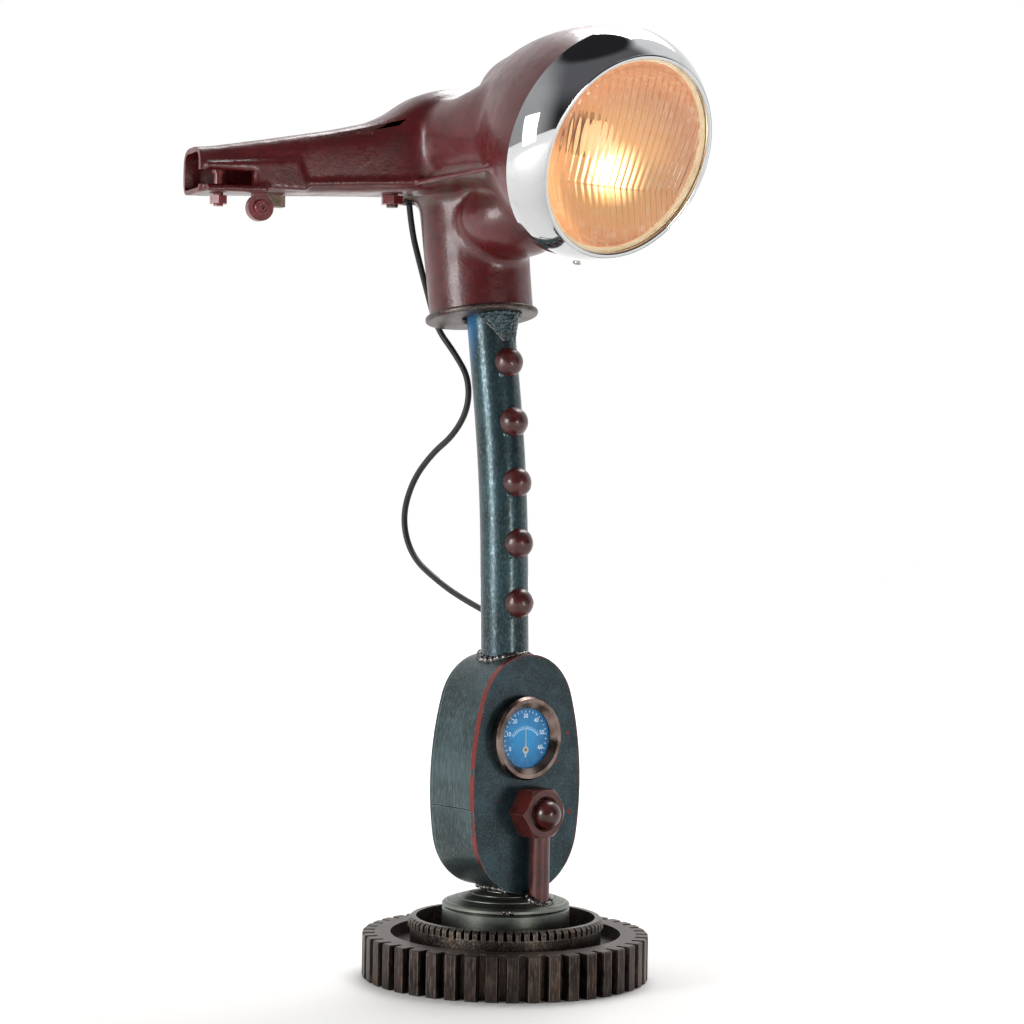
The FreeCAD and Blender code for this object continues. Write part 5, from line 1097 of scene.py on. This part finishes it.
def fillerRing(share):
    centre, lean = stemCentre(filler["foot"] + (filler["top"] - filler["foot"]) * share)
    front = Vector((0, -math.cos(lean), math.sin(lean)))
    start = -math.radians(filler["left"][0] + (filler["left"][1] - filler["left"][0]) * share)
    end = math.radians(filler["right"][0] + (filler["right"][1] - filler["right"][0]) * share)
    reach = filler["footReach"] + (filler["topReach"] - filler["footReach"]) * share
    turns = [start + (end - start) * step / 40 for step in range(41)]
    outer = []
    for turn in turns:
        edge = turn / (start if turn < 0 else end)
        out = filler["stemRadius"] + 0.0006 + reach * (1 - edge ** 4)
        point = centre + (front * math.cos(turn) + Vector((math.sin(turn), 0, 0))) * out
        outer.append(point + front * noise.noise(point * 620) * filler["lumps"])
    inner = [centre + (front * math.cos(turn) + Vector((math.sin(turn), 0, 0))) * (filler["stemRadius"] + 0.0001)
             for turn in reversed(turns)]
    return outer, inner


def fillerPiece():
    build = bmesh.new()
    loft(build, [sum(fillerRing(step / 40), []) for step in range(41)])
    newPiece("stemFiller", asMesh(build, "stemFiller"), "stemPatina", "base", ["stem_gusset"], crease=50)


fillerPiece()


# weld beads: droplets of uneven size run along a path

beadTree = None


def beadRun(name, points, size, spacing, replaced, body="base", closed=True, seed=1, finish="weldBead"):
    global beadTree
    if beadTree is None:
        tree, entry, sockets = newTree("weldDroplets", {
            "Geometry": ("NodeSocketGeometry", None), "Size": ("NodeSocketFloat", 0.002),
            "Uneven": ("NodeSocketFloat", 0.45), "Seed": ("NodeSocketInt", 1),
        })
        drop = addNode(tree, "GeometryNodeMeshIcoSphere", {"Radius": entry.outputs["Size"], "Subdivisions": 3})
        least = addNode(tree, "ShaderNodeMath", {0: 1.0, 1: entry.outputs["Uneven"]}, operation="SUBTRACT")
        most = addNode(tree, "ShaderNodeMath", {0: 1.0, 1: entry.outputs["Uneven"]}, operation="ADD")
        scale = addNode(tree, "FunctionNodeRandomValue", {
            2: least.outputs[0], 3: most.outputs[0], "Seed": entry.outputs["Seed"]}, data_type="FLOAT")
        placed = addNode(tree, "GeometryNodeInstanceOnPoints", {
            "Points": entry.outputs["Geometry"], "Instance": drop.outputs[0], "Scale": scale.outputs[1]})
        finishTree(tree, placed.outputs[0], "weldBead")
        beadTree = tree, sockets
    tree, sockets = beadTree
    # points every so often along the path
    path = list(points) + ([points[0]] if closed else [])
    spots = []
    for a, b in zip(path, path[1:]):
        count = max(1, round((b - a).length / spacing))
        spots += [a.lerp(b, step / count) for step in range(count)]
    spots = [
        spot + Vector(noise.noise_vector(spot * 700 + Vector((seed, 0, 0)))) * size * 0.35 for spot in spots
    ]
    cloud = bpy.data.meshes.new(name)
    cloud.from_pydata([tuple(spot) for spot in spots], [], [])
    holder = bpy.data.objects.new(name, cloud)
    bpy.context.scene.collection.objects.link(holder)
    modifier = holder.modifiers.new("nodes", "NODES")
    modifier.node_group = tree
    modifier[sockets["Size"]] = size
    modifier[sockets["Seed"]] = seed
    graph = bpy.context.evaluated_depsgraph_get()
    mesh = bpy.data.meshes.new_from_object(holder.evaluated_get(graph))
    bpy.data.objects.remove(holder)
    mesh = evaluated(mesh, ("REMESH", {"mode": "VOXEL", "voxel_size": size / 5}),
                     ("SMOOTH", {"factor": 0.5, "iterations": 2}))
    return newPiece(name, mesh, finish, body, replaced)


welds = {"stemFoot": 0.0024, "rodFoot": 0.0022, "stemTop": 0.0021, "drumFoot": 0.0019, "capLip": 0.0020}
circleSteps = [2 * math.pi * step / 72 for step in range(72)]
drumTop = {"centre": 0.1816, "radius": 0.0387}
beadRun("stemFootWeld", [
    Vector((0.0172 * math.sin(turn), 0.0052 + 0.0172 * math.cos(turn),
            drumTop["centre"] + math.sqrt(drumTop["radius"] ** 2 - (0.0172 * math.sin(turn)) ** 2) + 0.0004))
    for turn in circleSteps
], welds["stemFoot"], 0.0017, ["stem_foot_weld"], seed=4)
topCentre, topLean = stemCentre(0.4533)
topSide = Vector((0, math.cos(topLean), -math.sin(topLean)))
beadRun("stemTopWeld", [
    topCentre + Vector((0.0174 * math.sin(turn), 0, 0)) + topSide * 0.0174 * math.cos(turn)
    - Vector((0, math.sin(topLean), math.cos(topLean))) * 0.0012
    for turn in (math.radians(-50 + step * 5) for step in range(50))
], welds["stemTop"], 0.0016, ["stem_top_weld"], closed=False, seed=9)
beadRun("fillerTopWeld", fillerRing(0.97)[0][2:], 0.0019, 0.0019, (), closed=False, seed=12, finish="stemPatina")
beadRun("fillerSideWeld", [fillerRing(step / 12)[0][0] for step in range(12)], 0.0008, 0.0008, (), closed=False, seed=14)
beadRun("rodFootWeld", [
    Vector((0.0035 + 0.0072 * math.sin(turn), -0.031 + 0.0072 * math.cos(turn),
            0.0563 + 0.0034 * math.cos(turn))) for turn in circleSteps[::3]
], welds["rodFoot"], 0.0015, ["rod_foot_weld"], seed=2)
for index, side in enumerate((-1, 1)):
    beadRun(f"drumFootWeld{index + 1}", [
        Vector((side * 0.009, -0.0130 + 0.0355 * step / 20, 0.0600)) for step in range(21)
    ], welds["drumFoot"], 0.0016, ["drum_foot_welds"] if index == 0 else (), closed=False, seed=5 + index)
beadRun("capLipWelds", [
    Vector((0.0437 * math.cos(math.radians(turn)), 0.0437 * math.sin(math.radians(turn)), 0.0500))
    for turn in (229, 235, 241)
], welds["capLip"], 0.02, ["cap_lip_welds"], closed=False, seed=8)
print("welds run")


# gauge dial marks

dial = {"tickRadius": 0.0182, "ticks": 25, "sweep": 250, "innerRadius": 0.0155, "innerTicks": 17, "innerSweep": 96,
        "numberRadius": 0.0150, "numberSize": 0.0042}
dialPlace = Matrix.Translation(places["dial"] + Vector((0, -0.00002, 0))) @ Matrix.Rotation(math.radians(90), 4, "X")


def tickMarks(name, count, radius, sweep, length, width, centreY=0.0):
    tree, entry, sockets = newTree(name, {
        "Count": ("NodeSocketInt", 20), "Radius": ("NodeSocketFloat", 0.018), "Sweep": ("NodeSocketFloat", 4.0),
        "Start": ("NodeSocketFloat", 0.0), "Mark": ("NodeSocketVector", (0.001, 0.0003, 0.0001)),
    })
    arc = addNode(tree, "GeometryNodeCurveArc", {
        "Resolution": entry.outputs["Count"], "Radius": entry.outputs["Radius"], "Start Angle": entry.outputs["Start"],
        "Sweep Angle": entry.outputs["Sweep"]})
    spots = addNode(tree, "GeometryNodeCurveToPoints", {"Curve": arc.outputs[0], "Count": entry.outputs["Count"]})
    mark = addNode(tree, "GeometryNodeMeshCube", {"Size": entry.outputs["Mark"]})
    turned = addNode(tree, "FunctionNodeAlignRotationToVector", {"Vector": spots.outputs["Normal"]}, axis="X")
    placed = addNode(tree, "GeometryNodeInstanceOnPoints", {
        "Points": spots.outputs["Points"], "Instance": mark.outputs[0], "Rotation": turned.outputs[0]})
    finishTree(tree, placed.outputs[0], "printWhite")
    mesh = fromTree(name, tree, sockets, {
        "Count": count, "Radius": radius, "Sweep": math.radians(sweep), "Start": math.radians(90 - sweep / 2),
        "Mark": (length, width, 0.00012)})
    mesh.transform(Matrix.Translation((0, centreY, 0)))
    mesh.transform(dialPlace)
    newPiece(name, mesh, "printWhite", "base", smooth=False)


tickMarks("dialOuterTicks", dial["ticks"], dial["tickRadius"], dial["sweep"], 0.0016, 0.00035)
tickMarks("dialInnerTicks", dial["innerTicks"], dial["innerRadius"], dial["innerSweep"], 0.0012, 0.0003, -0.008)

numbers = bmesh.new()
for index, text in enumerate(("0", "10", "20", "30", "40", "50", "60")):
    turn = math.radians(90 + 117 - index * 39)
    letters = bpy.data.curves.new("number", "FONT")
    letters.body = text
    letters.size = dial["numberSize"]
    letters.extrude = 0.00006
    letters.align_x = "CENTER"
    letters.align_y = "CENTER"
    holder = bpy.data.objects.new("number", letters)
    bpy.context.scene.collection.objects.link(holder)
    flat = bpy.data.meshes.new_from_object(holder.evaluated_get(bpy.context.evaluated_depsgraph_get()))
    bpy.data.objects.remove(holder)
    flat.transform(Matrix.Translation((dial["numberRadius"] * math.cos(turn), dial["numberRadius"] * math.sin(turn), 0)))
    flat.transform(dialPlace)
    numbers.from_mesh(flat)
newPiece("dialNumbers", asMesh(numbers, "dialNumbers", outward=False), "printWhite", "base", smooth=False)

arc = bmesh.new()
spun(arc, [(0.01415, 0), (0.01445, 0), (0.01445, 0.0001), (0.01415, 0.0001)], Vector((0, -0.008, 0)), Vector((0, 0, 1)), 128)
gone = [vert for vert in arc.verts if math.degrees(math.atan2(abs(vert.co.x), vert.co.y + 0.008)) > 52]
bmesh.ops.delete(arc, geom=gone, context="VERTS")
bmesh.ops.holes_fill(arc, edges=[edge for edge in arc.edges if edge.is_boundary], sides=0)
arc.transform(dialPlace)
newPiece("dialArc", asMesh(arc, "dialArc"), "printWhite", "base", smooth=False)
print("dial printed")


# floor and light

stage = {"floor": "f6f5f3", "world": 1.0, "room": "2c2c2e", "walls": "6c6c70", "backdrop": "ffffff", "farLight": 0.8}
floorMesh = bpy.data.meshes.new("floor")
floorMesh.from_pydata([(-6, -6, 0), (6, -6, 0), (6, 6, 0), (-6, 6, 0)], [], [(0, 1, 2, 3)])
floor = bpy.data.objects.new("floor", floorMesh)
bpy.context.scene.collection.objects.link(floor)
material, tree, shader, coords = newMaterial("paleFloor", Roughness=0.7)
tree.links.new(blendColours(tree, speckle(tree, coords, 400, 2), stage["floor"], "f7f6f4"), shader.inputs["Base Color"])
# painted light: the floor's far part glows, so it is as bright as the backdrop
reach = addNode(tree, "ShaderNodeVectorMath", {0: coords}, operation="LENGTH").outputs["Value"]
shader.inputs["Emission Color"].default_value = hexColour("ffffff")
tree.links.new(maths(tree, "MULTIPLY", ramp(tree, reach, 0.3, 2.6), stage["farLight"]), shader.inputs["Emission Strength"])
floorMesh.materials.append(material)

world = bpy.context.scene.world or bpy.data.worlds.new("studio")
bpy.context.scene.world = world
world.use_nodes = True
tree = world.node_tree
toward = addNode(tree, "ShaderNodeTexCoord").outputs["Generated"]
ahead = addNode(tree, "ShaderNodeVectorMath", {0: toward, 1: tuple(look)}, operation="DOT_PRODUCT").outputs["Value"]
height = axisValue(tree, toward, "Z")
# the room behind the camera and the ceiling are dim, the backdrop is lit and spills on to the wall at the left
leftward = addNode(tree, "ShaderNodeVectorMath", {0: toward, 1: (-0.766, 0.643, 0)}, operation="DOT_PRODUCT").outputs["Value"]
lit = maths(tree, "MAXIMUM", ramp(tree, ahead, -0.1, 0.25), maths(tree, "MULTIPLY", ramp(tree, leftward, 0.3, 0.8), 0.45))
lit = maths(tree, "MULTIPLY", lit, ramp(tree, height, 0.93, 0.86))
walls = maths(tree, "MULTIPLY", ramp(tree, height, 0.1, 0.6), ramp(tree, height, 0.93, 0.86))
room = blendColours(tree, walls, stage["room"], stage["walls"])
backdrop = blendColours(tree, lit, room, stage["backdrop"])
tree.links.new(backdrop, tree.nodes["Background"].inputs[0])
tree.nodes["Background"].inputs[1].default_value = stage["world"]

lights = {
    "keySoftbox": ((-2.1, 0.25, 0.65), (0.8, 0.9), 27, "ffffff"),
    "frontStrip": ((-0.15, -2.0, 0.30), (0.3, 0.56), 8, "fffaf4"),
    "topSoftbox": ((0.9, 0.6, 2.0), (1.2, 1.2), 36, "ffffff"),
}
for name, (place, size, watts, tint) in lights.items():
    light = bpy.data.lights.new(name, "AREA")
    light.shape = "RECTANGLE"
    light.size, light.size_y = size
    light.energy = watts
    light.color = hexColour(tint)[:3]
    lamp = bpy.data.objects.new(name, light)
    bpy.context.scene.collection.objects.link(lamp)
    lamp.location = place
    lamp.rotation_euler = (Vector((0, 0, 0.35)) - Vector(place)).to_track_quat("-Z", "Y").to_euler()
print("studio lit")
